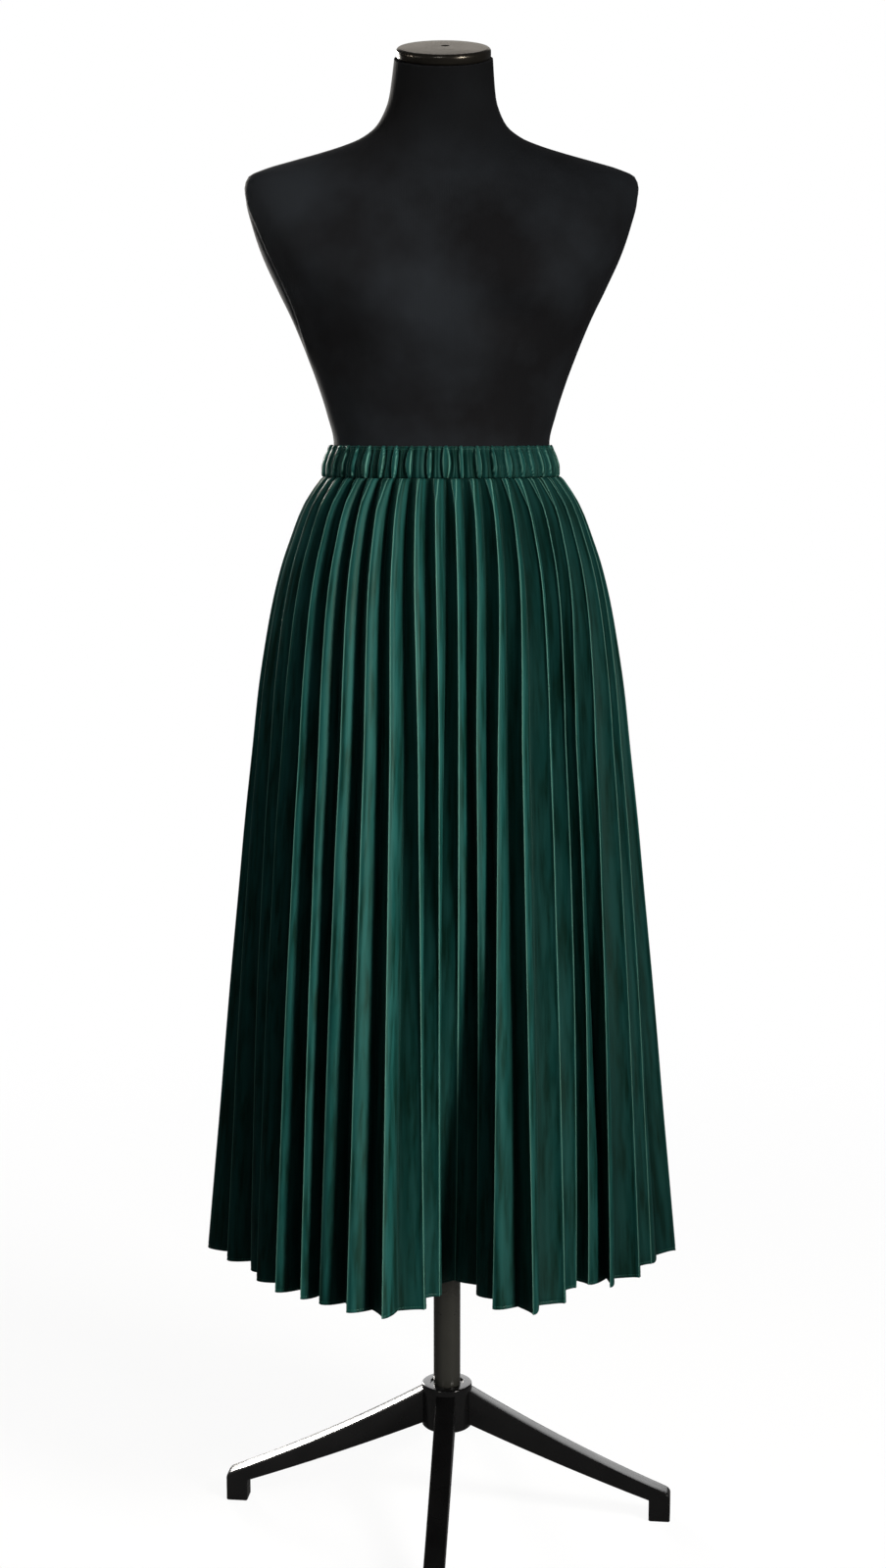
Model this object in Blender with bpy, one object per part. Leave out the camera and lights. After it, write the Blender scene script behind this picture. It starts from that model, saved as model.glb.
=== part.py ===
"""Pleated midi skirt with a gathered elastic waistband, worn on a limbless dress form
with a four-legged stand.

Metres, +Z up. The front of the skirt faces -Y, and the wearer's right side is at -X.
The origin is on the floor under the middle of the skirt.
"""
import math
from collections import namedtuple

import bmesh
import bpy
from mathutils import Matrix, Vector

# Driving sizes, in metres and degrees. The stand is a little to one side of the skirt's middle.
SEAM_GAP = 0.0003
CLOTH_WALL = 0.0010

HEM_HEIGHT = 0.3106
WAIST_SEAM_HEIGHT = 1.1650
BAND_TOP_HEIGHT = 1.1970
BAND_CLEARANCE = 0.0005
PLEATS_PER_PANEL = 22
GATHERS_PER_PLEAT = 2
MAJOR_GATHER_DEPTH = 0.0032
MINOR_GATHER_DEPTH = 0.0020

FORM_POINTS_AROUND = 48
NECK_TILT = 16.0
NECK_TOP_HEIGHT = 1.5920
CAP_RADIUS = 0.0492
CAP_THICKNESS = 0.0108
CAP_EDGE_RADIUS = 0.0040
CAP_HOLE_RADIUS = 0.0040
CAP_HOLE_DEPTH = 0.0060
CAP_HOLE_OFFSET = (0.0025, 0.0080)
CAP_UNDER_EDGE = 0.0030
CAP_STEPS = 48
CAP_CORNER_STEPS = 4
CAP_HOLE_STEPS = 16

BOARD_THICKNESS = 0.0120
BOARD_INSET = 0.0050
POLE_RADIUS = 0.0150
POLE_STEPS = 32
HUB_RADIUS = 0.0280
HUB_BOTTOM = 0.1005
HUB_TOP = 0.1505
HUB_FLOOR = 0.0060
HUB_RECESS_RADIUS = 0.0185
HUB_RECESS_DEPTH = 0.0020
HUB_EDGE = 0.0015
HUB_STEPS = 40

STAND_X = 0.0060
LEG_WIDTH = 0.0220
LEG_EDGE = 0.0010
LEG_TIP_RADIUS = 0.2530
FOOT_LENGTH = 0.0240
LEG_TOP_AT_HUB = 0.1435
LEG_UNDER_AT_HUB = 0.1047
LEG_TOP_AT_FOOT = 0.0420
LEG_TOP_AT_TIP = 0.0320
LEG_UNDER_AT_FOOT = 0.0245
LEG_TOP_SAG = 0.0040
LEG_UNDER_SAG = 0.0020
LEG_STEPS = 5
TIP_CUT_LENGTH = 0.0040
TIP_CUT_RISE = 0.0016
TIP_CUT_DROP = 0.0025

# Outer edge of the pleats at each level of the skirt, from hem to waist seam: half its width,
# its reach to the front and to the back, and the width of one flat pleat face.
Level = namedtuple("Level", "height half_width front back face_width")
SKIRT_LEVELS = [
    Level(HEM_HEIGHT, 0.2613, 0.2150, 0.2000, 0.0280),
    Level(0.3970, 0.2529, 0.2070, 0.1945, 0.0272),
    Level(0.4770, 0.2451, 0.1995, 0.1890, 0.0261),
    Level(0.5570, 0.2378, 0.1925, 0.1840, 0.0254),
    Level(0.6370, 0.2301, 0.1855, 0.1790, 0.0247),
    Level(0.7170, 0.2218, 0.1785, 0.1735, 0.0240),
    Level(0.7970, 0.2137, 0.1710, 0.1680, 0.0232),
    Level(0.8770, 0.2044, 0.1630, 0.1620, 0.0223),
    Level(0.9370, 0.1976, 0.1560, 0.1560, 0.0215),
    Level(0.9870, 0.1898, 0.1490, 0.1500, 0.0206),
    Level(1.0320, 0.1813, 0.1415, 0.1440, 0.0197),
    Level(1.0720, 0.1711, 0.1335, 0.1370, 0.0186),
    Level(1.1020, 0.1607, 0.1265, 0.1300, 0.0176),
    Level(1.1270, 0.1512, 0.1195, 0.1225, 0.0163),
    Level(1.1470, 0.1407, 0.1120, 0.1140, 0.0147),
    Level(WAIST_SEAM_HEIGHT - SEAM_GAP, 0.1300, 0.1045, 0.1045, 0.0128),
]

# The outer crease of each pleat: its turn about the middle of the skirt at the hip and at the hem,
# counted from the front towards +X in degrees, and how far out it ends at the hem as a share of
# the hem's oval. The deep troughs are where the reach is least.
Crease = namedtuple("Crease", "hip_turn hem_turn hem_reach")
FRONT_CREASES = [
    Crease(-87.0, -89.0, 1.000), Crease(-77.1, -76.5, 0.929), Crease(-65.0, -65.7, 0.871),
    Crease(-56.6, -56.6, 0.912), Crease(-47.2, -45.5, 0.947), Crease(-39.1, -36.8, 0.948),
    Crease(-31.1, -30.9, 0.955), Crease(-23.0, -22.0, 1.007), Crease(-14.9, -13.0, 1.042),
    Crease(-6.8, -4.3, 0.898), Crease(-0.7, -0.6, 0.715), Crease(5.4, 6.2, 0.505),
    Crease(10.7, 11.4, 0.710), Crease(16.7, 12.8, 0.912), Crease(23.9, 20.6, 1.031),
    Crease(33.8, 31.3, 0.951), Crease(40.8, 42.3, 0.815), Crease(45.3, 46.9, 0.823),
    Crease(53.5, 48.7, 0.914), Crease(64.0, 60.4, 0.939), Crease(71.8, 73.1, 0.919),
    Crease(82.0, 86.0, 1.000),
]
BACK_CREASES = [
    Crease(94.6, 94.0, 1.000), Crease(103.0, 102.5, 0.955), Crease(112.0, 112.0, 0.930),
    Crease(120.4, 120.5, 0.960), Crease(128.1, 128.0, 1.000), Crease(136.2, 136.0, 1.030),
    Crease(143.9, 143.5, 1.000), Crease(150.5, 149.0, 0.900), Crease(156.7, 154.0, 0.800),
    Crease(164.4, 161.5, 0.780), Crease(171.6, 168.0, 0.840), Crease(177.8, 173.0, 0.930),
    Crease(185.2, 180.0, 0.990), Crease(193.3, 188.0, 1.020), Crease(201.4, 196.0, 1.000),
    Crease(208.5, 202.5, 0.920), Crease(215.7, 209.0, 0.850), Crease(223.7, 217.0, 0.870),
    Crease(231.8, 225.0, 0.930), Crease(241.1, 235.0, 0.975), Crease(251.0, 246.0, 0.970),
    Crease(261.6, 258.0, 0.985),
]

# The level of the hip turns, the turn of the waist seam, how late the troughs deepen, and the
# least mitre of the wall at a crease.
HIP_HEIGHT = 0.8870
WAIST_TWIST = 1.5
REACH_GROWTH = 1.6
LEAST_MITRE = 0.2

# The gathered outside of the waistband, bottom to top, as half its width at a gather's crest.
BandLevel = namedtuple("BandLevel", "height half_width gather_share")
BAND_LEVELS = [
    BandLevel(WAIST_SEAM_HEIGHT, 0.1268, 1.0),
    BandLevel(1.1750, 0.1267, 0.8),
    BandLevel(1.1850, 0.1240, 0.8),
    BandLevel(1.1935, 0.1206, 1.0),
    BandLevel(BAND_TOP_HEIGHT, 0.1183, 0.7),
]

# The dress form, level by level: half its width, its reach to the front and to the back, and
# how square its section is (2 is an oval).
Section = namedtuple("Section", "height half_width front back squareness")
FORM_SECTIONS = [
    Section(0.9050, 0.1530, 0.0880, 0.1020, 2.1),
    Section(0.9120, 0.1590, 0.0940, 0.1080, 2.1),
    Section(0.9320, 0.1640, 0.0985, 0.1130, 2.1),
    Section(0.9670, 0.1665, 0.1010, 0.1165, 2.1),
    Section(1.0020, 0.1655, 0.1020, 0.1170, 2.1),
    Section(1.0370, 0.1595, 0.1020, 0.1120, 2.1),
    Section(1.0720, 0.1500, 0.1005, 0.1050, 2.1),
    Section(1.1020, 0.1400, 0.0985, 0.0985, 2.05),
    Section(1.1320, 0.1290, 0.0945, 0.0930, 2.0),
    Section(1.1650, 0.1178, 0.0900, 0.0890, 2.0),
    Section(1.1820, 0.1148, 0.0880, 0.0880, 2.0),
    Section(1.2000, 0.1145, 0.0880, 0.0880, 2.0),
    Section(1.2288, 0.1210, 0.0905, 0.0895, 2.0),
    Section(1.2616, 0.1312, 0.0980, 0.0920, 2.05),
    Section(1.2943, 0.1433, 0.1085, 0.0945, 2.1),
    Section(1.3268, 0.1565, 0.1170, 0.0975, 2.2),
    Section(1.3592, 0.1711, 0.1200, 0.1005, 2.35),
    Section(1.3914, 0.1857, 0.1140, 0.1030, 2.6),
    Section(1.4236, 0.1971, 0.1010, 0.1035, 2.8),
    Section(1.4476, 0.2035, 0.0870, 0.1000, 2.9),
    Section(1.4630, 0.2049, 0.0765, 0.0950, 2.9),
    Section(1.4735, 0.2016, 0.0690, 0.0890, 2.7),
    Section(1.4815, 0.1857, 0.0635, 0.0840, 2.4),
    Section(1.4895, 0.1590, 0.0590, 0.0780, 2.2),
    Section(1.4974, 0.1303, 0.0560, 0.0720, 2.1),
    Section(1.5053, 0.1047, 0.0540, 0.0665, 2.0),
    Section(1.5133, 0.0847, 0.0525, 0.0620, 2.0),
    Section(1.5250, 0.0690, 0.0510, 0.0580, 2.0),
    Section(1.5370, 0.0617, 0.0505, 0.0550, 2.0),
    Section(1.5530, 0.0560, 0.0500, 0.0530, 2.0),
    Section(1.5730, 0.0525, 0.0500, 0.0510, 2.0),
    Section(NECK_TOP_HEIGHT - SEAM_GAP, 0.0502, 0.0500, 0.0500, 2.0),
]
# Where the neck starts to lean forward towards its tilted top.
NECK_LEAN_START = 1.5250

# The four legs of the stand: turns about the pole, counted from +X towards +Y in degrees.
Leg = namedtuple("Leg", "name turn")
LEGS = [
    Leg("leg_right", -6.4),
    Leg("leg_back", 86.4),
    Leg("leg_left", 173.6),
    Leg("leg_front", 266.4),
]


def clear_scene():
    for item in list(bpy.data.objects):
        bpy.data.objects.remove(item, do_unlink=True)


def make_material(name, colour, roughness, metallic=0.0):
    material = bpy.data.materials.new(name)
    material.use_nodes = True
    shader = material.node_tree.nodes["Principled BSDF"]
    shader.inputs["Base Color"].default_value = (*colour, 1.0)
    shader.inputs["Roughness"].default_value = roughness
    shader.inputs["Metallic"].default_value = metallic
    material.diffuse_color = (*colour, 1.0)
    return material


def make_object(name, points, faces, material, smooth_angle=None):
    """One closed solid from its points and faces, with its faces turned outwards."""
    mesh = bpy.data.meshes.new(name)
    shape = bmesh.new()
    corners = [shape.verts.new(point) for point in points]
    for face in faces:
        shape.faces.new([corners[index] for index in face])
    bmesh.ops.recalc_face_normals(shape, faces=shape.faces)
    shape.to_mesh(mesh)
    shape.free()
    mesh.materials.append(material)
    if smooth_angle is not None:
        mesh.shade_smooth()
        mesh.set_sharp_from_angle(angle=math.radians(smooth_angle))
    item = bpy.data.objects.new(name, mesh)
    bpy.context.collection.objects.link(item)
    return item


def ring_faces(ring_count, points_around):
    """Triangles between neighbouring closed rings, all cut along the same diagonal."""
    faces = []
    for ring in range(ring_count - 1):
        low = ring * points_around
        high = low + points_around
        for index in range(points_around):
            following = (index + 1) % points_around
            faces.append((low + index, low + following, high + following))
            faces.append((low + index, high + following, high + index))
    return faces


def stacked_solid(name, rings, material, smooth_angle=None):
    """A solid from a stack of closed rings, with a flat cap at each end."""
    around = len(rings[0])
    points = [point for ring in rings for point in ring]
    faces = ring_faces(len(rings), around)
    last = (len(rings) - 1) * around
    faces.append(tuple(range(around)))
    faces.append(tuple(range(last, last + around)))
    return make_object(name, points, faces, material, smooth_angle)


def looped_solid(name, rings, material, smooth_angle=None):
    """A ring-shaped solid: the last ring of points joins the first again."""
    around = len(rings[0])
    points = [point for ring in rings for point in ring]
    faces = ring_faces(len(rings), around)
    last = (len(rings) - 1) * around
    for index in range(around):
        following = (index + 1) % around
        faces.append((last + index, last + following, following))
        faces.append((last + index, following, index))
    return make_object(name, points, faces, material, smooth_angle)


def turned_rings(profile, steps):
    """Rings of points for a profile of (radius, height) turned about the Z axis."""
    rings = []
    for radius, height in profile:
        ring = []
        for step in range(steps):
            angle = 2.0 * math.pi * step / steps
            ring.append(Vector((radius * math.cos(angle), radius * math.sin(angle), height)))
        rings.append(ring)
    return rings


# The skirt panels.
def waist_turn(index):
    """Turn of a pleat's outer crease at the waist, where the pleats are evenly spaced."""
    pitch = 360.0 / (2 * PLEATS_PER_PANEL)
    return (index - (PLEATS_PER_PANEL - 1) / 2.0) * pitch + WAIST_TWIST


def oval_point(level, turn, reach):
    """The point of a skirt level's oval at a turn from the front, moved in or out."""
    angle = math.radians(turn)
    depth = level.front if math.cos(angle) > 0.0 else level.back
    return Vector((reach * level.half_width * math.sin(angle), -reach * depth * math.cos(angle), 0.0))


def eased_turn(start, middle, end, middle_share, share):
    """A turn that runs smoothly from start through middle to end, without overshooting."""
    first = (middle - start) / middle_share
    second = (end - middle) / (1.0 - middle_share)
    at_middle = 2.0 * first * second / (first + second) if first * second > 0.0 else 0.0
    if share < middle_share:
        low, high, slope_low, slope_high, span = start, middle, first, at_middle, middle_share
        part = share / middle_share
    else:
        low, high, slope_low, slope_high = middle, end, at_middle, second
        span = 1.0 - middle_share
        part = (share - middle_share) / span
    square = part * part
    cube = square * part
    return ((2.0 * cube - 3.0 * square + 1.0) * low + (3.0 * square - 2.0 * cube) * high
            + span * ((cube - 2.0 * square + part) * slope_low + (cube - square) * slope_high))


def outer_creases(level):
    """The outer crease points of all the pleats at one level, in order round the skirt."""
    length = WAIST_SEAM_HEIGHT - HEM_HEIGHT
    fall = (WAIST_SEAM_HEIGHT - level.height) / length
    hip_share = (WAIST_SEAM_HEIGHT - HIP_HEIGHT) / length
    points = []
    for index, crease in enumerate(FRONT_CREASES + BACK_CREASES):
        turn = eased_turn(waist_turn(index), crease.hip_turn, crease.hem_turn, hip_share, fall)
        reach = 1.0 + (crease.hem_reach - 1.0) * fall ** REACH_GROWTH
        points.append(oval_point(level, turn, reach))
    return points


def pleat_line(level):
    """Outer and inner creases by turns round the skirt, starting with an outer crease.

    Each inner crease lies behind the middle of two outer ones, as far in as the width of the
    two flat faces between them allows.
    """
    outer = outer_creases(level)
    line = []
    for index, point in enumerate(outer):
        following = outer[(index + 1) % len(outer)]
        chord = following - point
        half = chord.length / 2.0
        depth = math.sqrt(max(level.face_width ** 2 - half ** 2, 0.0))
        inward = Vector((-chord.y, chord.x, 0.0)).normalized()
        line.append(point)
        line.append((point + following) / 2.0 + inward * depth)
    return line


def mitred_offsets(line):
    """For each crease, the step from the wall's middle line to its outer face."""
    offsets = []
    count = len(line)
    for index, point in enumerate(line):
        before = (point - line[index - 1]).normalized()
        after = (line[(index + 1) % count] - point).normalized()
        outward_before = Vector((before.y, -before.x, 0.0))
        outward_after = Vector((after.y, -after.x, 0.0))
        mitre = (outward_before + outward_after).normalized()
        share = max(mitre.dot(outward_before), LEAST_MITRE)
        offsets.append(mitre * (CLOTH_WALL / 2.0 / share))
    return offsets


def panel_rows(first_pleat):
    """Outer and inner wall points of one panel at every level, from side seam to side seam."""
    rows = []
    for level in SKIRT_LEVELS:
        line = pleat_line(level)
        offsets = mitred_offsets(line)
        count = len(line)
        start = 2 * first_pleat - 1
        indices = [(start + step) % count for step in range(2 * PLEATS_PER_PANEL + 1)]
        height = Vector((0.0, 0.0, level.height))
        outer = [line[index] + offsets[index] + height for index in indices]
        inner = [line[index] - offsets[index] + height for index in indices]
        for end, neighbour in ((0, 1), (-1, -2)):
            along = (outer[end] - inner[end]).normalized()
            aside = Vector((-along.y, along.x, 0.0))
            if aside.dot(outer[neighbour] - outer[end]) < 0.0:
                aside = -aside
            outer[end] = outer[end] + aside * (SEAM_GAP / 2.0)
            inner[end] = inner[end] + aside * (SEAM_GAP / 2.0)
        rows.append((outer, inner))
    return rows


def make_panel(name, first_pleat, material):
    """One pleated panel: a thin zigzag wall from hem to waist seam, cut at its side seams."""
    rows = panel_rows(first_pleat)
    width = len(rows[0][0])
    points = []
    for outer, inner in rows:
        points.extend(outer)
        points.extend(inner)
    faces = []
    for row in range(len(rows) - 1):
        low = row * 2 * width
        high = low + 2 * width
        for column in range(width - 1):
            for side in (0, width):
                a = low + side + column
                b = a + 1
                c = high + side + column + 1
                d = c - 1
                faces.append((a, b, c))
                faces.append((a, c, d))
        for column in (0, width - 1):
            faces.append((low + column, low + width + column, high + width + column))
            faces.append((low + column, high + width + column, high + column))
    for row in (0, len(rows) - 1):
        base = row * 2 * width
        for column in range(width - 1):
            a = base + column
            b = base + width + column
            faces.append((a, a + 1, b + 1))
            faces.append((a, b + 1, b))
    return make_object(name, points, faces, material)


# The waistband.
def form_section_at(height):
    """The form's section at a height, straight between its two nearest levels."""
    for below, above in zip(FORM_SECTIONS, FORM_SECTIONS[1:]):
        if below.height <= height <= above.height:
            share = (height - below.height) / (above.height - below.height)
            return Section(*(low + (high - low) * share for low, high in zip(below, above)))
    return FORM_SECTIONS[-1]


def section_point(section, angle, growth):
    """A point of a form section at an angle from the front, moved out by growth."""
    power = 2.0 / section.squareness
    side = math.sin(angle)
    ahead = math.cos(angle)
    depth = section.front if ahead > 0.0 else section.back
    x = math.copysign(abs(side) ** power, side) * (section.half_width + growth)
    y = -math.copysign(abs(ahead) ** power, ahead) * (depth + growth)
    return Vector((x, y, section.height))


def make_waistband(name, material):
    """The elastic band: plain inside against the form, gathered outside."""
    gathers = 2 * PLEATS_PER_PANEL * GATHERS_PER_PLEAT
    around = 2 * gathers
    rings = []
    for level in BAND_LEVELS:
        section = form_section_at(level.height)
        growth = level.half_width - section.half_width
        ring = []
        for step in range(around):
            groove = step % 2 == 1
            major = (step // 2) % 2 == 0
            deep = MAJOR_GATHER_DEPTH if major else MINOR_GATHER_DEPTH
            dip = deep * level.gather_share if groove else 0.0
            angle = 2.0 * math.pi * step / around
            ring.append(section_point(section, angle, growth - dip))
        rings.append(ring)
    for height in (BAND_TOP_HEIGHT, WAIST_SEAM_HEIGHT):
        section = form_section_at(height)
        ring = []
        for step in range(around):
            angle = 2.0 * math.pi * step / around
            ring.append(section_point(section, angle, BAND_CLEARANCE))
        rings.append(ring)
    return looped_solid(name, rings, material)


# The dress form.
def lean(point):
    """Tilt the neck's upper levels forward, so that its top plane meets the tilted cap."""
    share = (point.z - NECK_LEAN_START) / (NECK_TOP_HEIGHT - NECK_LEAN_START)
    if share <= 0.0:
        return point
    slope = math.tan(math.radians(NECK_TILT)) * share
    return Vector((point.x, point.y, point.z + point.y * slope))


def make_torso(name, material):
    rings = []
    for section in FORM_SECTIONS:
        ring = []
        for step in range(FORM_POINTS_AROUND):
            angle = 2.0 * math.pi * step / FORM_POINTS_AROUND
            ring.append(lean(section_point(section, angle, 0.0)))
        rings.append(ring)
    return stacked_solid(name, rings, material, smooth_angle=40.0)


def make_cap(name, material):
    """The turned cap on the neck, tilted forward, with a small blind hole in its top."""
    profile = [(CAP_RADIUS - CAP_UNDER_EDGE, 0.0), (CAP_RADIUS, CAP_UNDER_EDGE)]
    for step in range(CAP_CORNER_STEPS + 1):
        angle = math.radians(90.0 * step / CAP_CORNER_STEPS)
        profile.append((
            CAP_RADIUS - CAP_EDGE_RADIUS * (1.0 - math.cos(angle)),
            CAP_THICKNESS - CAP_EDGE_RADIUS * (1.0 - math.sin(angle)),
        ))
    cap = stacked_solid(name, turned_rings(profile, CAP_STEPS), material, smooth_angle=40.0)
    drill_profile = [
        (CAP_HOLE_RADIUS, CAP_THICKNESS - CAP_HOLE_DEPTH),
        (CAP_HOLE_RADIUS, CAP_THICKNESS + CAP_HOLE_DEPTH),
    ]
    drill = stacked_solid("cap_drill", turned_rings(drill_profile, CAP_HOLE_STEPS), material)
    tilt = Matrix.Rotation(math.radians(NECK_TILT), 4, "X")
    place = Matrix.Translation((0.0, 0.0, NECK_TOP_HEIGHT)) @ tilt
    cap.matrix_world = place
    drill.matrix_world = place @ Matrix.Translation((*CAP_HOLE_OFFSET, 0.0))
    drill.hide_render = True
    drill.display_type = "WIRE"
    cut = cap.modifiers.new("hole", "BOOLEAN")
    cut.operation = "DIFFERENCE"
    cut.solver = "EXACT"
    cut.object = drill
    return cap


def make_board(name, material):
    """The flat board under the form, with a round hole that the pole passes through."""
    floor = FORM_SECTIONS[0]
    top = floor.height - SEAM_GAP
    bottom = top - BOARD_THICKNESS
    hole = POLE_RADIUS + SEAM_GAP
    rings = []
    for radius, height in ((None, bottom), (None, top), (hole, top), (hole, bottom)):
        ring = []
        for step in range(FORM_POINTS_AROUND):
            angle = 2.0 * math.pi * step / FORM_POINTS_AROUND
            if radius is None:
                point = section_point(floor, angle, -BOARD_INSET)
            else:
                point = Vector((STAND_X + radius * math.sin(angle), -radius * math.cos(angle), 0.0))
            ring.append(Vector((point.x, point.y, height)))
        rings.append(ring)
    return looped_solid(name, rings, material, smooth_angle=40.0)


# The stand.
def make_pole(name, material):
    bottom = HUB_BOTTOM + HUB_FLOOR + SEAM_GAP
    top = FORM_SECTIONS[0].height - SEAM_GAP
    profile = [(POLE_RADIUS, bottom), (POLE_RADIUS, top)]
    pole = stacked_solid(name, turned_rings(profile, POLE_STEPS), material, smooth_angle=40.0)
    pole.location = (STAND_X, 0.0, 0.0)
    return pole


def make_hub(name, material):
    """The cast hub: a cup that the pole stands in, with a shallow recess in its top."""
    bore = POLE_RADIUS + SEAM_GAP
    floor = HUB_BOTTOM + HUB_FLOOR
    edge_middle = HUB_EDGE * (1.0 - math.cos(math.radians(45.0)))
    profile = [
        (HUB_RADIUS - HUB_EDGE, HUB_BOTTOM),
        (HUB_RADIUS, HUB_BOTTOM + HUB_EDGE),
        (HUB_RADIUS, HUB_TOP - HUB_EDGE),
        (HUB_RADIUS - edge_middle, HUB_TOP - edge_middle),
        (HUB_RADIUS - HUB_EDGE, HUB_TOP),
        (HUB_RECESS_RADIUS, HUB_TOP),
        (HUB_RECESS_RADIUS, HUB_TOP - HUB_RECESS_DEPTH),
        (bore, HUB_TOP - HUB_RECESS_DEPTH),
        (bore, floor),
    ]
    hub = stacked_solid(name, turned_rings(profile, HUB_STEPS), material, smooth_angle=40.0)
    hub.location = (STAND_X, 0.0, 0.0)
    return hub


def leg_profile(start, inset):
    """The leg's side outline as (distance from the pole, height), from the hub round the foot."""
    foot_start = LEG_TIP_RADIUS - FOOT_LENGTH
    top = []
    under = []
    for step in range(LEG_STEPS + 1):
        share = step / LEG_STEPS
        bow = 4.0 * share * (1.0 - share)
        top_height = LEG_TOP_AT_HUB + (LEG_TOP_AT_FOOT - LEG_TOP_AT_HUB) * share - LEG_TOP_SAG * bow
        under_height = LEG_UNDER_AT_HUB + (LEG_UNDER_AT_FOOT - LEG_UNDER_AT_HUB) * share
        under_height -= LEG_UNDER_SAG * bow
        distance = start + (foot_start - start) * share
        top.append((distance, top_height - inset))
        under.append((distance, under_height + inset))
    tip = LEG_TIP_RADIUS - inset
    foot = [
        (tip - TIP_CUT_LENGTH, LEG_TOP_AT_TIP + TIP_CUT_RISE - inset),
        (tip, LEG_TOP_AT_TIP - TIP_CUT_DROP),
        (tip, inset),
        (foot_start + inset, inset),
    ]
    under[-1] = (foot_start + inset, LEG_UNDER_AT_FOOT + inset)
    return top + foot + under[::-1]


def make_leg(name, turn, material):
    """One leg with its foot, hollowed at the hub end to fit the round hub."""
    half = LEG_WIDTH / 2.0
    inner = half - LEG_EDGE
    stations = [(-half, LEG_EDGE), (-inner, 0.0), (-inner / 2.0, 0.0), (0.0, 0.0),
                (inner / 2.0, 0.0), (inner, 0.0), (half, LEG_EDGE)]
    rings = []
    for aside, inset in stations:
        start = math.sqrt((HUB_RADIUS + SEAM_GAP) ** 2 - aside ** 2)
        rings.append([Vector((far, aside, height)) for far, height in leg_profile(start, inset)])
    leg = stacked_solid(name, rings, material)
    leg.location = (STAND_X, 0.0, 0.0)
    leg.rotation_euler = (0.0, 0.0, math.radians(turn))
    return leg


def build():
    clear_scene()
    cloth = make_material("dark green pleated satin", (0.012, 0.075, 0.055), 0.45)
    jersey = make_material("black jersey", (0.010, 0.011, 0.013), 0.90)
    gunmetal = make_material("gunmetal cap", (0.060, 0.055, 0.045), 0.30, 0.8)
    board_wood = make_material("painted board", (0.020, 0.020, 0.020), 0.60)
    satin_black = make_material("satin black steel", (0.014, 0.014, 0.015), 0.35)

    make_panel("skirt_front", 0, cloth)
    make_panel("skirt_back", PLEATS_PER_PANEL, cloth)
    make_waistband("waistband", cloth)
    make_torso("form_torso", jersey)
    make_cap("neck_cap", gunmetal)
    make_board("form_base_board", board_wood)
    make_pole("pole", satin_black)
    make_hub("hub", satin_black)
    for leg in LEGS:
        make_leg(leg.name, leg.turn, satin_black)


build()
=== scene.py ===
"""A dark green accordion-pleated skirt on a black dress form with a four-legged stand."""

import math
from collections import namedtuple

import bmesh
import bpy
from mathutils import Matrix, Vector, noise


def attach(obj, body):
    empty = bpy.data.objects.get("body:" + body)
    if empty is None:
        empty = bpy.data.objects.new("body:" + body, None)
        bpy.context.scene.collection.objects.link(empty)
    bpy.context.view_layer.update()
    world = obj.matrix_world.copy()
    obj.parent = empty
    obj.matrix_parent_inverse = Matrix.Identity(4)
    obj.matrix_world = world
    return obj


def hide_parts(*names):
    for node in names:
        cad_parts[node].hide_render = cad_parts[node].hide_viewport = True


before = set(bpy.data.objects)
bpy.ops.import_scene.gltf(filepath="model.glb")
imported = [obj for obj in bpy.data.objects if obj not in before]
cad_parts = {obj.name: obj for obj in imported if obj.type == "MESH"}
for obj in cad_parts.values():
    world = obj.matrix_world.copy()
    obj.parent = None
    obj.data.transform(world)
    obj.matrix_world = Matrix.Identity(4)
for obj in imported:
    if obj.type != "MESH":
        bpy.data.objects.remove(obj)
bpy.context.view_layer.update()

# The camera stands in front of the form at the height of its chest and looks a little down, as
# the photograph was taken.
CAMERA_PLACE = (0.0015, -2.524, 1.2225)
CAMERA_DIP = 8.76
CAMERA_LENS = 54.0

camera_data = bpy.data.cameras.new("camera")
camera_data.lens = CAMERA_LENS
camera_data.sensor_width = 36.0
camera_data.sensor_fit = "AUTO"
camera = bpy.data.objects.new("camera", camera_data)
camera.location = CAMERA_PLACE
camera.rotation_euler = (math.radians(90.0 - CAMERA_DIP), 0.0, 0.0)
bpy.context.collection.objects.link(camera)
bpy.context.scene.camera = camera
bpy.context.scene.view_settings.view_transform = "Standard"


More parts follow.
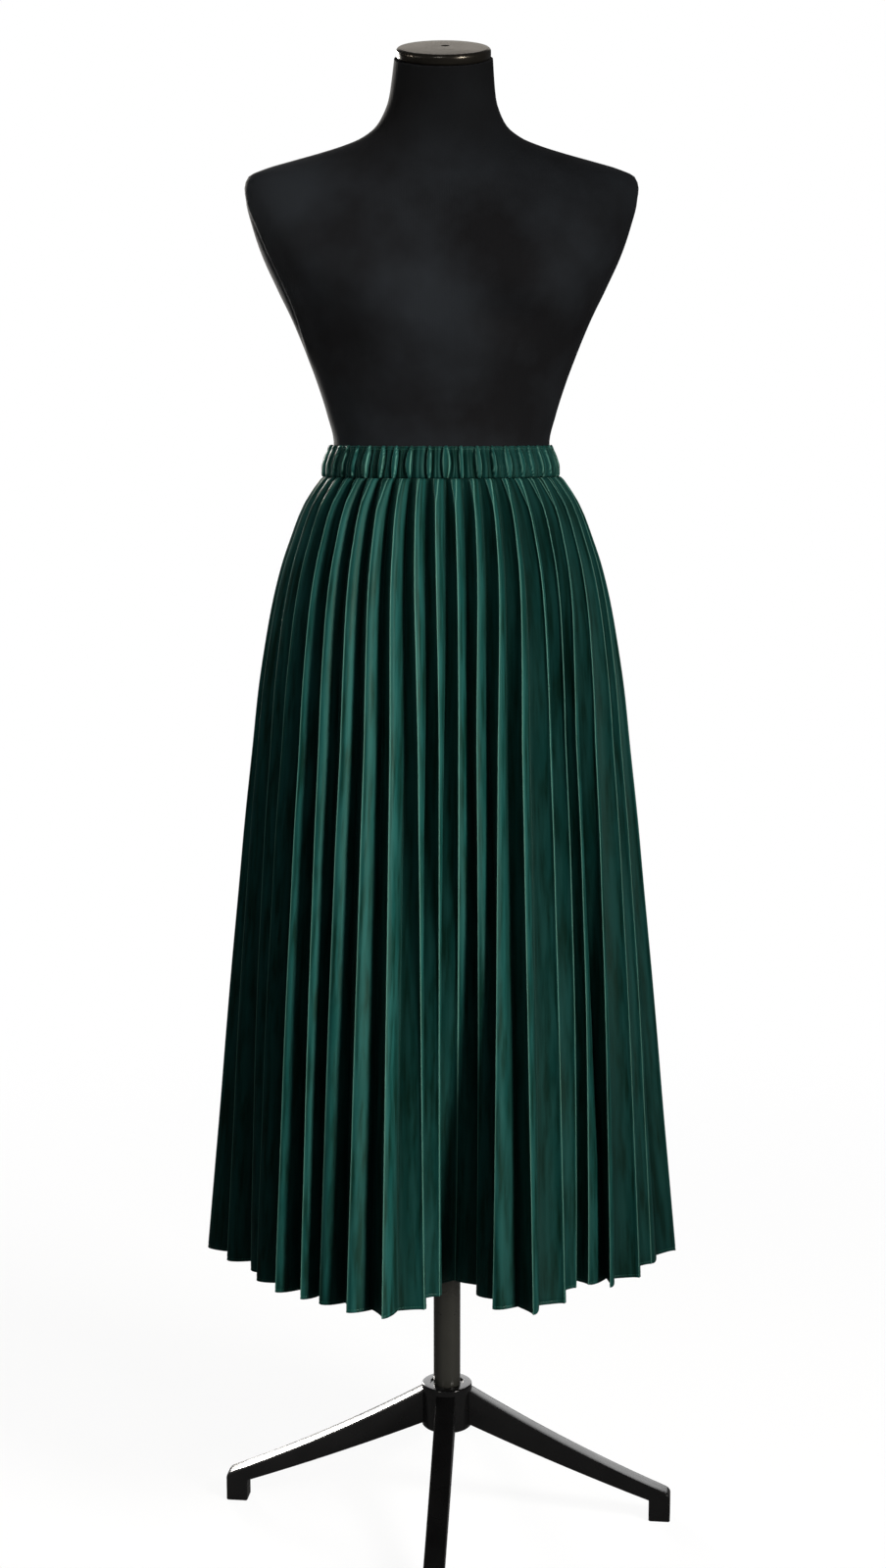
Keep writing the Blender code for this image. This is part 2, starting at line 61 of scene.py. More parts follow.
# The studio: a pale translucent floor over a lit white ground, white seen all round but little
# light coming from it, and soft lamps. The key lamp, to the front and right, lights one face of
# each pleat, and weaker ones fill from the left, the front and behind. A lamp whose last value
# names a part lights that part alone.
FLOOR_SIZE = 60.0
FLOOR_VEIL = 0.07
VEIL_START = 0.5
VEIL_END = 2.2
GROUND_COLOUR = "#ffffff"
ROOM_LIGHT = 0.014
ROOM_SHINE = 0.06
Lamp = namedtuple("Lamp", "name place aim width height watts spread colour only")
LAMPS = [
    Lamp("key_lamp", (2.55, -2.80, 1.65), (-0.85, -0.33, 0.80), 0.7, 1.7, 17.6, 34.0, "#fffaf3",
         ""),
    Lamp("left_fill", (-3.0, -1.6, 2.0), (0.0, 0.0, 1.05), 1.2, 1.2, 2.4, 180.0, "#f3f8ff", ""),
    Lamp("side_fill", (-3.0, -0.4, 2.0), (-0.1, 0.0, 1.38), 0.5, 0.5, 0.30, 13.0, "#fff8ee", ""),
    Lamp("front_fill", (-0.6, -3.0, 2.6), (0.0, 0.0, 1.14), 0.8, 0.8, 0.34, 24.0, "#f6fbff", ""),
    Lamp("back_light", (0.0, 3.0, 3.05), (0.0, 0.0, 1.55), 2.2, 1.0, 4.6, 180.0, "#fff6ea", ""),
    Lamp("rear_key", (-1.7, 3.4, 1.65), (0.0, 0.2, 0.85), 0.6, 1.6, 13.0, 40.0, "#fffaf3", ""),
    Lamp("backdrop_card", (0.0, 2.4, 0.9), (0.0, 0.0, 0.1), 3.4, 1.4, 34.0, 180.0, "#ffffff",
         "stand"),
    Lamp("stand_card", (-1.5, -2.2, 0.7), (0.0, 0.0, 0.2), 0.5, 1.4, 9.0, 180.0, "#fffaf3",
         "stand"),
    Lamp("floor_lamp", (2.6, -2.2, 3.2), (0.0, 0.0, 0.0), 1.2, 1.2, 260.0, 180.0, "#ffffff",
         "floor"),
]


def linear(hex_colour):
    """The linear colour of an sRGB hex value."""
    channels = []
    for start in (1, 3, 5):
        value = int(hex_colour[start:start + 2], 16) / 255.0
        channels.append(value / 12.92 if value <= 0.04045 else ((value + 0.055) / 1.055) ** 2.4)
    return (*channels, 1.0)


def add_node(tree, kind, inputs=None, **settings):
    """Adds a node, sets its options, and gives its inputs a value or a link from a socket."""
    made = tree.nodes.new(kind)
    for name, value in settings.items():
        setattr(made, name, value)
    for socket, value in (inputs or {}).items():
        if isinstance(value, bpy.types.NodeSocket):
            tree.links.new(value, made.inputs[socket])
        else:
            made.inputs[socket].default_value = value
    return made


def start_material(name, **shader_values):
    """A new material and its Principled shader, with constant values on the shader's sockets."""
    material = bpy.data.materials.new(name)
    material.use_nodes = True
    shader = material.node_tree.nodes["Principled BSDF"]
    for socket, value in shader_values.items():
        shader.inputs[socket.replace("_", " ")].default_value = value
    return material, material.node_tree, shader


# Frosted white sheet: mostly clear to the white ground, with a matt veil that takes soft shadows.
frosted, tree, shader = start_material("frosted white floor sheet", Roughness=0.8)
place = add_node(tree, "ShaderNodeTexCoord")
patches = add_node(tree, "ShaderNodeTexNoise", {"Vector": place.outputs["Object"], "Scale": 1.5})
tone = add_node(tree, "ShaderNodeMix", {
    0: patches.outputs["Fac"], 6: linear("#f1efec"), 7: linear("#f4f2ef"),
}, data_type="RGBA")
clear = add_node(tree, "ShaderNodeBsdfTransparent")
away = add_node(tree, "ShaderNodeVectorMath", {0: place.outputs["Object"]}, operation="LENGTH")
thickness = add_node(tree, "ShaderNodeMapRange", {
    "Value": away.outputs["Value"], "From Min": VEIL_START, "From Max": VEIL_END,
    "To Min": FLOOR_VEIL, "To Max": 0.0}, interpolation_type="SMOOTHSTEP")
veil = add_node(tree, "ShaderNodeMixShader", {
    0: thickness.outputs["Result"], 1: clear.outputs["BSDF"], 2: shader.outputs["BSDF"]})
tree.links.new(tone.outputs[2], shader.inputs["Base Color"])
tree.links.new(veil.outputs["Shader"], tree.nodes["Material Output"].inputs["Surface"])

floor_mesh = bpy.data.meshes.new("floor")
reach = FLOOR_SIZE / 2.0
floor_mesh.from_pydata(
    [(-reach, -reach, 0.0), (reach, -reach, 0.0), (reach, reach, 0.0), (-reach, reach, 0.0)],
    [], [(0, 1, 2, 3)])
floor_mesh.materials.append(frosted)
floor = bpy.data.objects.new("floor", floor_mesh)
bpy.context.collection.objects.link(floor)

ground = bpy.data.worlds.new("white ground")
bpy.context.scene.world = ground
ground.use_nodes = True
seen = ground.node_tree.nodes["Background"]
seen.inputs["Color"].default_value = linear(GROUND_COLOUR)
ray = add_node(ground.node_tree, "ShaderNodeLightPath")
shine = add_node(ground.node_tree, "ShaderNodeMapRange", {
    "Value": ray.outputs["Is Glossy Ray"], "To Min": ROOM_LIGHT, "To Max": ROOM_SHINE})
strength = add_node(ground.node_tree, "ShaderNodeMapRange", {
    "Value": ray.outputs["Is Camera Ray"], "To Min": shine.outputs["Result"], "To Max": 1.0})
ground.node_tree.links.new(strength.outputs["Result"], seen.inputs["Strength"])

lit_alone = {name: bpy.data.collections.new(name + " lit alone") for name in ("floor", "stand")}
lit_alone["floor"].objects.link(floor)
for lamp in LAMPS:
    light = bpy.data.lights.new(lamp.name, "AREA")
    light.shape = "RECTANGLE"
    light.size = lamp.width
    light.size_y = lamp.height
    light.energy = lamp.watts
    light.spread = math.radians(lamp.spread)
    light.color = linear(lamp.colour)[:3]
    holder = bpy.data.objects.new(lamp.name, light)
    holder.location = lamp.place
    towards = Vector(lamp.aim) - Vector(lamp.place)
    holder.rotation_euler = towards.to_track_quat("-Z", "Y").to_euler()
    bpy.context.collection.objects.link(holder)
    if lamp.only:
        holder.light_linking.receiver_collection = lit_alone[lamp.only]


# The stand: a cast hub, a steel tube pole that stands in it, and four cast legs that taper to
# square feet. All are powder coated: the legs satin black, the hub a glossier black and the pole
# a satin dark grey.
STAND_X = 0.0060
POLE_RADIUS = 0.0150
POLE_TOP = 0.9047
HUB_RADIUS = 0.0280
HUB_BOTTOM = 0.1005
HUB_TOP = 0.1505
HUB_FLOOR = 0.0060
HUB_BORE = 0.0153
HUB_RECESS_RADIUS = 0.0185
HUB_RECESS_DEPTH = 0.0020
HUB_EDGE = 0.0015
SEAM_GAP = 0.0003
LEG_WIDTH = 0.0220
LEG_EDGE = 0.0014
LEG_TIP_RADIUS = 0.2530
FOOT_LENGTH = 0.0240
LEG_TOP_AT_HUB = 0.1435
LEG_UNDER_AT_HUB = 0.1047
LEG_TOP_AT_FOOT = 0.0420
LEG_TOP_AT_TIP = 0.0320
LEG_UNDER_AT_FOOT = 0.0245
LEG_TOP_SAG = 0.0040
LEG_UNDER_SAG = 0.0020
LEG_STEPS = 14
EDGE_STEPS = 4
TIP_ROUNDING = 0.0045
TIP_HALF_ROUNDING = 0.0022
TIP_RISE = 0.0018
TIP_SWELL = 0.0006
FOOT_BEVEL = 0.0012
HUB_RECESS_EDGE = 0.0006
POLE_AROUND = 64
HUB_AROUND = 80
SMOOTH_ANGLE = 40.0
LEG_SMOOTH_ANGLE = 34.0
Leg = namedtuple("Leg", "name turn")
LEGS = [
    Leg("leg_right", -6.4), Leg("leg_back", 86.4), Leg("leg_left", 173.6), Leg("leg_front", 266.4),
]


def coated_steel(name, colour, rubbed, roughness):
    """Powder coat on steel: a satin skin with a fine orange peel, about 1.5 mm across."""
    material, tree, shader = start_material(name, Roughness=roughness, IOR=1.5)
    place = add_node(tree, "ShaderNodeTexCoord")
    peel = add_node(tree, "ShaderNodeTexNoise", {
        "Vector": place.outputs["Object"], "Scale": 650.0, "Detail": 2.0,
    })
    rubs = add_node(tree, "ShaderNodeTexNoise", {
        "Vector": place.outputs["Object"], "Scale": 28.0, "Detail": 4.0,
    })
    tone = add_node(tree, "ShaderNodeMix", {
        0: rubs.outputs["Fac"], 6: linear(colour), 7: linear(rubbed),
    }, data_type="RGBA")
    gloss = add_node(tree, "ShaderNodeMapRange", {
        "Value": rubs.outputs["Fac"], "To Min": roughness - 0.06, "To Max": roughness + 0.08,
    })
    relief = add_node(tree, "ShaderNodeBump", {
        "Height": peel.outputs["Fac"], "Strength": 0.25, "Distance": 0.0002,
    })
    tree.links.new(tone.outputs[2], shader.inputs["Base Color"])
    tree.links.new(gloss.outputs["Result"], shader.inputs["Roughness"])
    tree.links.new(relief.outputs["Normal"], shader.inputs["Normal"])
    return material


def make_piece(name, points, faces, material, smooth_angle=SMOOTH_ANGLE):
    """A piece from points and faces already in place, faces turned outwards."""
    mesh = bpy.data.meshes.new(name)
    mesh.from_pydata([tuple(point) for point in points], [], faces)
    shape = bmesh.new()
    shape.from_mesh(mesh)
    bmesh.ops.recalc_face_normals(shape, faces=shape.faces)
    shape.to_mesh(mesh)
    shape.free()
    mesh.materials.append(material)
    mesh.shade_smooth()
    mesh.set_sharp_from_angle(angle=math.radians(smooth_angle))
    piece = bpy.data.objects.new(name, mesh)
    bpy.context.collection.objects.link(piece)
    return piece


def grid_faces(rows, columns, closed):
    """Four-sided faces between rows of points, joined round where closed."""
    faces = []
    last = columns if closed else columns - 1
    for row in range(rows - 1):
        for column in range(last):
            low = row * columns + column
            low_next = row * columns + (column + 1) % columns
            faces.append((low, low_next, low_next + columns, low + columns))
    return faces


def stack(name, rings, material, smooth_angle=SMOOTH_ANGLE):
    """A closed piece from a stack of rings of points, with a flat cap at each end."""
    columns = len(rings[0])
    points = [point for ring in rings for point in ring]
    faces = grid_faces(len(rings), columns, True)
    last = (len(rings) - 1) * columns
    faces.append(tuple(range(columns)))
    faces.append(tuple(range(last, last + columns)))
    return make_piece(name, points, faces, material, smooth_angle)


def turned(profile, steps, place):
    """Rings of points for a profile of (radius, height) turned about a line at place."""
    rings = []
    for radius, height in profile:
        ring = []
        for step in range(steps):
            angle = 2.0 * math.pi * step / steps
            spot = Vector((radius * math.cos(angle), radius * math.sin(angle), height))
            ring.append(place @ spot)
        rings.append(ring)
    return rings


def rounded(radius, height, size, steps=EDGE_STEPS):
    """Profile points of a rounded upper outside edge, from the side to the top."""
    points = []
    for step in range(steps + 1):
        angle = math.radians(90.0 * step / steps)
        points.append((radius - size * (1.0 - math.cos(angle)),
                       height - size * (1.0 - math.sin(angle))))
    return points


def leg_outline(start, inset):
    """A leg's side outline as (distance from the pole, height), shrunk by inset."""
    foot_start = LEG_TIP_RADIUS - FOOT_LENGTH
    top = []
    under = []
    for step in range(LEG_STEPS + 1):
        share = step / LEG_STEPS
        bow = 4.0 * share * (1.0 - share)
        upper = LEG_TOP_AT_HUB + (LEG_TOP_AT_FOOT - LEG_TOP_AT_HUB) * share - LEG_TOP_SAG * bow
        lower = LEG_UNDER_AT_HUB + (LEG_UNDER_AT_FOOT - LEG_UNDER_AT_HUB) * share
        distance = start + (foot_start - start) * share
        top.append((distance, upper - inset))
        under.append((distance, lower - LEG_UNDER_SAG * bow + inset))
    under[-1] = (foot_start + inset, LEG_UNDER_AT_FOOT + inset)
    tip = LEG_TIP_RADIUS - inset
    foot = [
        (tip - TIP_ROUNDING, LEG_TOP_AT_TIP + TIP_RISE - inset),
        (tip - TIP_HALF_ROUNDING, LEG_TOP_AT_TIP - inset),
        (tip - TIP_SWELL, LEG_TOP_AT_TIP - TIP_HALF_ROUNDING),
        (tip, LEG_TOP_AT_TIP - TIP_ROUNDING),
        (tip, FOOT_BEVEL + inset), (tip - FOOT_BEVEL, inset),
        (foot_start + inset + FOOT_BEVEL, inset), (foot_start + inset, FOOT_BEVEL + inset),
    ]
    return top + foot + under[::-1]


stand_steel = coated_steel("satin black powder coat", "#0c0c0d", "#19191a", 0.26)
hub_steel = coated_steel("gloss black powder coat", "#09090a", "#161617", 0.16)
pole_steel = coated_steel("satin dark grey powder coat", "#30302d", "#40403b", 0.28)
stand_place = Matrix.Translation((STAND_X, 0.0, 0.0))

pole = stack("stand_pole", turned([
    (POLE_RADIUS, HUB_BOTTOM + HUB_FLOOR + SEAM_GAP), (POLE_RADIUS, POLE_TOP),
], POLE_AROUND, stand_place), pole_steel)
hub = stack("stand_hub", turned([
    (HUB_RADIUS - HUB_EDGE, HUB_BOTTOM), (HUB_RADIUS, HUB_BOTTOM + HUB_EDGE),
    *rounded(HUB_RADIUS, HUB_TOP, HUB_EDGE),
    (HUB_RECESS_RADIUS + HUB_RECESS_EDGE, HUB_TOP),
    (HUB_RECESS_RADIUS, HUB_TOP - HUB_RECESS_EDGE),
    (HUB_RECESS_RADIUS, HUB_TOP - HUB_RECESS_DEPTH), (HUB_BORE, HUB_TOP - HUB_RECESS_DEPTH),
    (HUB_BORE, HUB_BOTTOM + HUB_FLOOR),
], HUB_AROUND, stand_place), hub_steel)
for piece, node in ((pole, "pole"), (hub, "hub")):
    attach(piece, "root")
    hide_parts(node)
    lit_alone["stand"].objects.link(piece)

half_width = LEG_WIDTH / 2.0
stations = [(-half_width + LEG_EDGE * (1.0 - math.cos(math.radians(90.0 * k / EDGE_STEPS))),
             LEG_EDGE * (1.0 - math.sin(math.radians(90.0 * k / EDGE_STEPS))))
            for k in range(EDGE_STEPS + 1)]
stations += [(-half_width / 3.0, 0.0), (half_width / 3.0, 0.0)]
stations += [(-aside, inset) for aside, inset in stations[EDGE_STEPS::-1]]
for leg in LEGS:
    turn = stand_place @ Matrix.Rotation(math.radians(leg.turn), 4, "Z")
    rings = []
    for aside, inset in stations:
        start = math.sqrt((HUB_RADIUS + SEAM_GAP) ** 2 - aside ** 2)
        outline = leg_outline(start, inset)
        rings.append([turn @ Vector((far, aside, height)) for far, height in outline])
    piece = stack("stand_" + leg.name, rings, stand_steel, smooth_angle=LEG_SMOOTH_ANGLE)
    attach(piece, "root")
    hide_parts(leg.name)
    lit_alone["stand"].objects.link(piece)


# The board that closes the form's lower end: painted fibreboard, screwed on from below. It is
# hidden under the skirt, and the CAD piece's own shape stays.
board_paint, tree, shader = start_material("matt black painted fibreboard", Roughness=0.62)
place = add_node(tree, "ShaderNodeTexCoord")
fibres = add_node(tree, "ShaderNodeTexNoise", {
    "Vector": place.outputs["Object"], "Scale": 240.0, "Detail": 5.0, "Roughness": 0.7,
})
tone = add_node(tree, "ShaderNodeMix", {
    0: fibres.outputs["Fac"], 6: linear("#0e0e0f"), 7: linear("#242322"),
}, data_type="RGBA")
relief = add_node(tree, "ShaderNodeBump", {
    "Height": fibres.outputs["Fac"], "Strength": 0.4, "Distance": 0.0004,
})
tree.links.new(tone.outputs[2], shader.inputs["Base Color"])
tree.links.new(relief.outputs["Normal"], shader.inputs["Normal"])
for cad_slot in bpy.data.objects["form_base_board"].material_slots:
    cad_slot.material = board_paint


# The dress form: a padded shell covered in black jersey, pulled tight over it, with a sewn oval
# plate over each armhole. The skirt's waist grips it.
Section = namedtuple("Section", "height half_width front back squareness")
FORM_SECTIONS = [Section(*row) for row in (
    (0.9050, 0.1530, 0.0880, 0.1020, 2.1), (0.9120, 0.1590, 0.0940, 0.1080, 2.1),
    (0.9320, 0.1640, 0.0985, 0.1130, 2.1), (0.9670, 0.1665, 0.1010, 0.1165, 2.1),
    (1.0020, 0.1655, 0.1020, 0.1170, 2.1), (1.0370, 0.1595, 0.1020, 0.1120, 2.1),
    (1.0720, 0.1500, 0.1005, 0.1050, 2.1), (1.1020, 0.1400, 0.0985, 0.0985, 2.05),
    (1.1320, 0.1290, 0.0945, 0.0930, 2.0), (1.1650, 0.1178, 0.0900, 0.0890, 2.0),
    (1.1820, 0.1148, 0.0880, 0.0880, 2.0), (1.2000, 0.1145, 0.0880, 0.0880, 2.0),
    (1.2288, 0.1210, 0.0905, 0.0895, 2.0), (1.2616, 0.1312, 0.0980, 0.0920, 2.05),
    (1.2943, 0.1433, 0.1085, 0.0945, 2.1), (1.3268, 0.1565, 0.1170, 0.0975, 2.2),
    (1.3592, 0.1711, 0.1200, 0.1005, 2.35), (1.3914, 0.1857, 0.1140, 0.1030, 2.6),
    (1.4236, 0.1971, 0.1010, 0.1035, 2.8), (1.4476, 0.2035, 0.0870, 0.1000, 2.9),
    (1.4630, 0.2049, 0.0765, 0.0950, 2.9), (1.4735, 0.2016, 0.0690, 0.0890, 2.7),
    (1.4815, 0.1857, 0.0635, 0.0840, 2.4), (1.4895, 0.1590, 0.0590, 0.0780, 2.2),
    (1.4974, 0.1303, 0.0560, 0.0720, 2.1), (1.5053, 0.1047, 0.0540, 0.0665, 2.0),
    (1.5133, 0.0847, 0.0525, 0.0620, 2.0), (1.5250, 0.0690, 0.0510, 0.0580, 2.0),
    (1.5370, 0.0617, 0.0505, 0.0550, 2.0), (1.5530, 0.0560, 0.0500, 0.0530, 2.0),
    (1.5730, 0.0533, 0.0500, 0.0510, 2.0), (1.5942, 0.0513, 0.0500, 0.0500, 2.0),
)]
NECK_TILT = 17.5
NECK_SHIFT = 0.0021
NECK_TOP_HEIGHT = 1.5945
NECK_LEAN_START = 1.5250
FORM_AROUND = 360
FORM_FINE_STEPS = 1440
FORM_LINE_STEP = 0.0010
FORM_LINE_COUNT = 689
FORM_ROW_STEP = 0.0055
PLATE_HEIGHT = 1.3750
PLATE_HALF_HEIGHT = 0.0900
PLATE_HALF_DEPTH = 0.0560
PLATE_RISE = 0.0012
PLATE_GROOVE = 0.0036
PLATE_GROOVE_WIDTH = 0.0060
PLATE_LEAST_X = 0.07
PLATE_REACH = 1.6
PADDING_FADE = 0.03


def gentle_slope(first, second):
    """A slope between two runs that never overshoots them."""
    return 2.0 * first * second / (first + second) if first * second > 0.0 else 0.0


def between(table, height):
    """The row of a table at a height, on a smooth curve through the table's own rows."""
    index = 0
    while index < len(table) - 2 and height > table[index + 1].height:
        index += 1
    low, high = table[index], table[index + 1]
    span = high.height - low.height
    part = min(max((height - low.height) / span, 0.0), 1.0)
    square = part * part
    cube = square * part
    values = []
    for field in range(len(low)):
        run = (high[field] - low[field]) / span
        at_low = at_high = run
        if index > 0:
            before = table[index - 1]
            at_low = gentle_slope((low[field] - before[field]) / (low.height - before.height), run)
        if index < len(table) - 2:
            after = table[index + 2]
            at_high = gentle_slope(run, (after[field] - high[field]) / (after.height - high.height))
        values.append((2.0 * cube - 3.0 * square + 1.0) * low[field]
                      + (3.0 * square - 2.0 * cube) * high[field]
                      + span * ((cube - 2.0 * square + part) * at_low + (cube - square) * at_high))
    return type(low)(*values)


def section_point(section, angle, growth=0.0):
    """A point of a form section at an angle from the front, moved out by growth."""
    power = 2.0 / section.squareness
    side = math.sin(angle)
    ahead = math.cos(angle)
    depth = section.front if ahead > 0.0 else section.back
    x = math.copysign(abs(side) ** power, side) * (section.half_width + growth)
    y = -math.copysign(abs(ahead) ** power, ahead) * (depth + growth)
    return Vector((x, y, section.height))


def even_ring(section, count):
    """Points evenly spaced along a section's outline, starting at its front."""
    fine = [section_point(section, 2.0 * math.pi * step / FORM_FINE_STEPS)
            for step in range(FORM_FINE_STEPS + 1)]
    travelled = [0.0]
    for here, following in zip(fine, fine[1:]):
        travelled.append(travelled[-1] + (following - here).length)
    ring = []
    index = 0
    for step in range(count):
        wanted = travelled[-1] * step / count
        while travelled[index + 1] < wanted:
            index += 1
        share = (wanted - travelled[index]) / (travelled[index + 1] - travelled[index])
        ring.append(fine[index].lerp(fine[index + 1], share))
    return ring


def lean(point):
    """Tilts the neck's upper levels forward and a little aside, to meet the tilted cap."""
    share = (point.z - NECK_LEAN_START) / (NECK_TOP_HEIGHT - NECK_LEAN_START)
    if share <= 0.0:
        return point
    slope = math.tan(math.radians(NECK_TILT)) * share
    return Vector((point.x + NECK_SHIFT * share, point.y, point.z + point.y * slope))


Padding = namedtuple("Padding", "x height half_width half_height rise")
PADDINGS = [Padding(*row) for row in (
    (0.080, 1.376, 0.050, 0.034, 0.0060), (-0.086, 1.372, 0.050, 0.034, 0.0060),
    (0.066, 1.326, 0.034, 0.020, -0.0080), (-0.100, 1.302, 0.030, 0.034, -0.0080),
)]


def padded(point):
    """Swells the front of the form at the bust and hollows it below."""
    if point.y > 0.0:
        return point
    rise = 0.0
    for padding in PADDINGS:
        away = math.hypot((point.x - padding.x) / padding.half_width,
                          (point.z - padding.height) / padding.half_height)
        rise += padding.rise * math.exp(-away ** 2)
    return Vector((point.x, point.y - rise * min(1.0, -point.y / PADDING_FADE), point.z))


def armhole_plate(point):
    """Raises the oval plate over an armhole and sinks the seam round it."""
    across = point.y / PLATE_HALF_DEPTH
    up = (point.z - PLATE_HEIGHT) / PLATE_HALF_HEIGHT
    from_middle = math.hypot(across, up)
    if abs(point.x) < PLATE_LEAST_X or from_middle > PLATE_REACH:
        return point
    from_seam = (from_middle - 1.0) * PLATE_HALF_DEPTH
    groove = PLATE_GROOVE * math.exp(-(from_seam / PLATE_GROOVE_WIDTH) ** 2)
    inside = 0.5 - 0.5 * math.tanh(from_seam / PLATE_GROOVE_WIDTH)
    rise = (PLATE_RISE * inside - groove) * min(1.0, (across / max(from_middle, 0.01)) ** 2 * 2.0)
    return Vector((point.x + math.copysign(rise, point.x), point.y, point.z))


# Black viscose jersey, knitted: matt, a little mottled in soft random patches, with fine wales
# that the lamp only just catches. They are drawn 2.4 mm apart, several times as coarse as real.
NECK_SHADE_START = 1.455
NECK_SHADE_FULL = 1.535
NECK_SHADE_DEPTH = 0.70
jersey, tree, shader = start_material(
    "black knitted jersey", Roughness=0.88, Specular_IOR_Level=0.2, Sheen_Weight=0.06,
    Sheen_Roughness=0.5, Sheen_Tint=linear("#8b8f9b"))
place = add_node(tree, "ShaderNodeTexCoord")
mottle = add_node(tree, "ShaderNodeTexNoise", {
    "Vector": place.outputs["Object"], "Scale": 8.0, "Detail": 4.0, "Roughness": 0.50,
})
warm = add_node(tree, "ShaderNodeTexNoise", {
    "Vector": place.outputs["Object"], "Scale": 5.0, "Detail": 2.0,
})
spread = add_node(tree, "ShaderNodeMapRange", {
    "Value": mottle.outputs["Fac"], "From Min": 0.36, "From Max": 0.64,
})
dark_tone = add_node(tree, "ShaderNodeMix", {
    0: warm.outputs["Fac"], 6: linear("#0b0c10"), 7: linear("#111113"),
}, data_type="RGBA")
tone = add_node(tree, "ShaderNodeMix", {
    0: spread.outputs["Result"], 6: dark_tone.outputs[2], 7: linear("#24282d"),
}, data_type="RGBA")
# Painted shade: the jersey is darkened towards black up the neck, standing in for the shade the
# neck lies in.
parts = add_node(tree, "ShaderNodeSeparateXYZ", {0: place.outputs["Object"]})
neck_shade_share = add_node(tree, "ShaderNodeMapRange", {
    "Value": parts.outputs["Z"], "From Min": NECK_SHADE_START, "From Max": NECK_SHADE_FULL,
    "To Max": NECK_SHADE_DEPTH}, interpolation_type="SMOOTHSTEP")
tone = add_node(tree, "ShaderNodeMix", {
    0: neck_shade_share.outputs["Result"], 6: tone.outputs[2], 7: linear("#050506"),
}, data_type="RGBA")
wales = add_node(tree, "ShaderNodeTexWave", {
    "Vector": place.outputs["Object"], "Scale": 130.0, "Distortion": 1.5, "Detail": 1.0,
}, bands_direction="X")
loops = add_node(tree, "ShaderNodeTexNoise", {
    "Vector": place.outputs["Object"], "Scale": 900.0, "Detail": 1.0,
})
knit = add_node(tree, "ShaderNodeMath", {0: wales.outputs["Fac"], 1: loops.outputs["Fac"]},
                operation="ADD")
relief = add_node(tree, "ShaderNodeBump", {
    "Height": knit.outputs["Value"], "Strength": 0.12, "Distance": 0.0003,
})
tree.links.new(tone.outputs[2], shader.inputs["Base Color"])
tree.links.new(relief.outputs["Normal"], shader.inputs["Normal"])

side_line = [between(FORM_SECTIONS, FORM_SECTIONS[0].height + FORM_LINE_STEP * step)
             for step in range(FORM_LINE_COUNT)]
form_rows = [FORM_SECTIONS[0]]
travelled = 0.0
for here, following in zip(side_line, side_line[1:]):
    travelled += math.hypot(following.half_width - here.half_width, following.height - here.height)
    if travelled > FORM_ROW_STEP:
        form_rows.append(following)
        travelled = 0.0
form_rows.append(FORM_SECTIONS[-1])
torso = stack("form_body", [
    [lean(armhole_plate(padded(point))) for point in even_ring(section, FORM_AROUND)]
    for section in form_rows
], jersey)
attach(torso, "root")
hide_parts("form_torso")


# The neck cap: a turned steel disc with a rounded edge and a small blind hole, finished in a
# brown gunmetal and pressed on the neck.
CAP_RADIUS = 0.0492
CAP_THICKNESS = 0.0112
CAP_EDGE_RADIUS = 0.0040
CAP_UNDER_EDGE = 0.0030
CAP_HOLE_RADIUS = 0.0040
CAP_HOLE_DEPTH = 0.0060
CAP_HOLE_OFFSET = (0.0017, 0.0105, 0.0)
CAP_HOLE_LIP = 0.0005
CAP_HOLE_FLARE = 0.0015
CAP_DRILL_OVER = 0.0010
CAP_AROUND = 128
CAP_HOLE_AROUND = 32
HOLE_SHADE_REACH = 0.0014
HOLE_SHADE_BELOW = 0.0001


def settle(piece):
    """Turns a piece's modifiers into plain mesh, and takes them off."""
    graph = bpy.context.evaluated_depsgraph_get()
    mesh = bpy.data.meshes.new_from_object(piece.evaluated_get(graph))
    piece.modifiers.clear()
    piece.data = mesh
    mesh.name = piece.name
    return piece


# Gunmetal finish on turned steel: a dark brown-grey metal with fine turning rings.
gunmetal, tree, shader = start_material("turned gunmetal", Metallic=0.85, Roughness=0.24)
place = add_node(tree, "ShaderNodeTexCoord")
clouds = add_node(tree, "ShaderNodeTexNoise", {
    "Vector": place.outputs["Object"], "Scale": 45.0, "Detail": 4.0,
})
tone = add_node(tree, "ShaderNodeMix", {
    0: clouds.outputs["Fac"], 6: linear("#3b3833"), 7: linear("#57524a"),
}, data_type="RGBA")
gloss = add_node(tree, "ShaderNodeMapRange", {
    "Value": clouds.outputs["Fac"], "To Min": 0.20, "To Max": 0.30,
})
centred = add_node(tree, "ShaderNodeMapping", {
    "Vector": place.outputs["Object"], "Location": (0.0, 0.0, -NECK_TOP_HEIGHT),
})
rings_drawn = add_node(tree, "ShaderNodeTexWave", {
    "Vector": centred.outputs["Vector"], "Scale": 300.0, "Distortion": 0.4,
}, wave_type="RINGS", rings_direction="Z")
relief = add_node(tree, "ShaderNodeBump", {
    "Height": rings_drawn.outputs["Fac"], "Strength": 0.10, "Distance": 0.0002,
})
tree.links.new(tone.outputs[2], shader.inputs["Base Color"])
tree.links.new(gloss.outputs["Result"], shader.inputs["Roughness"])
tree.links.new(relief.outputs["Normal"], shader.inputs["Normal"])

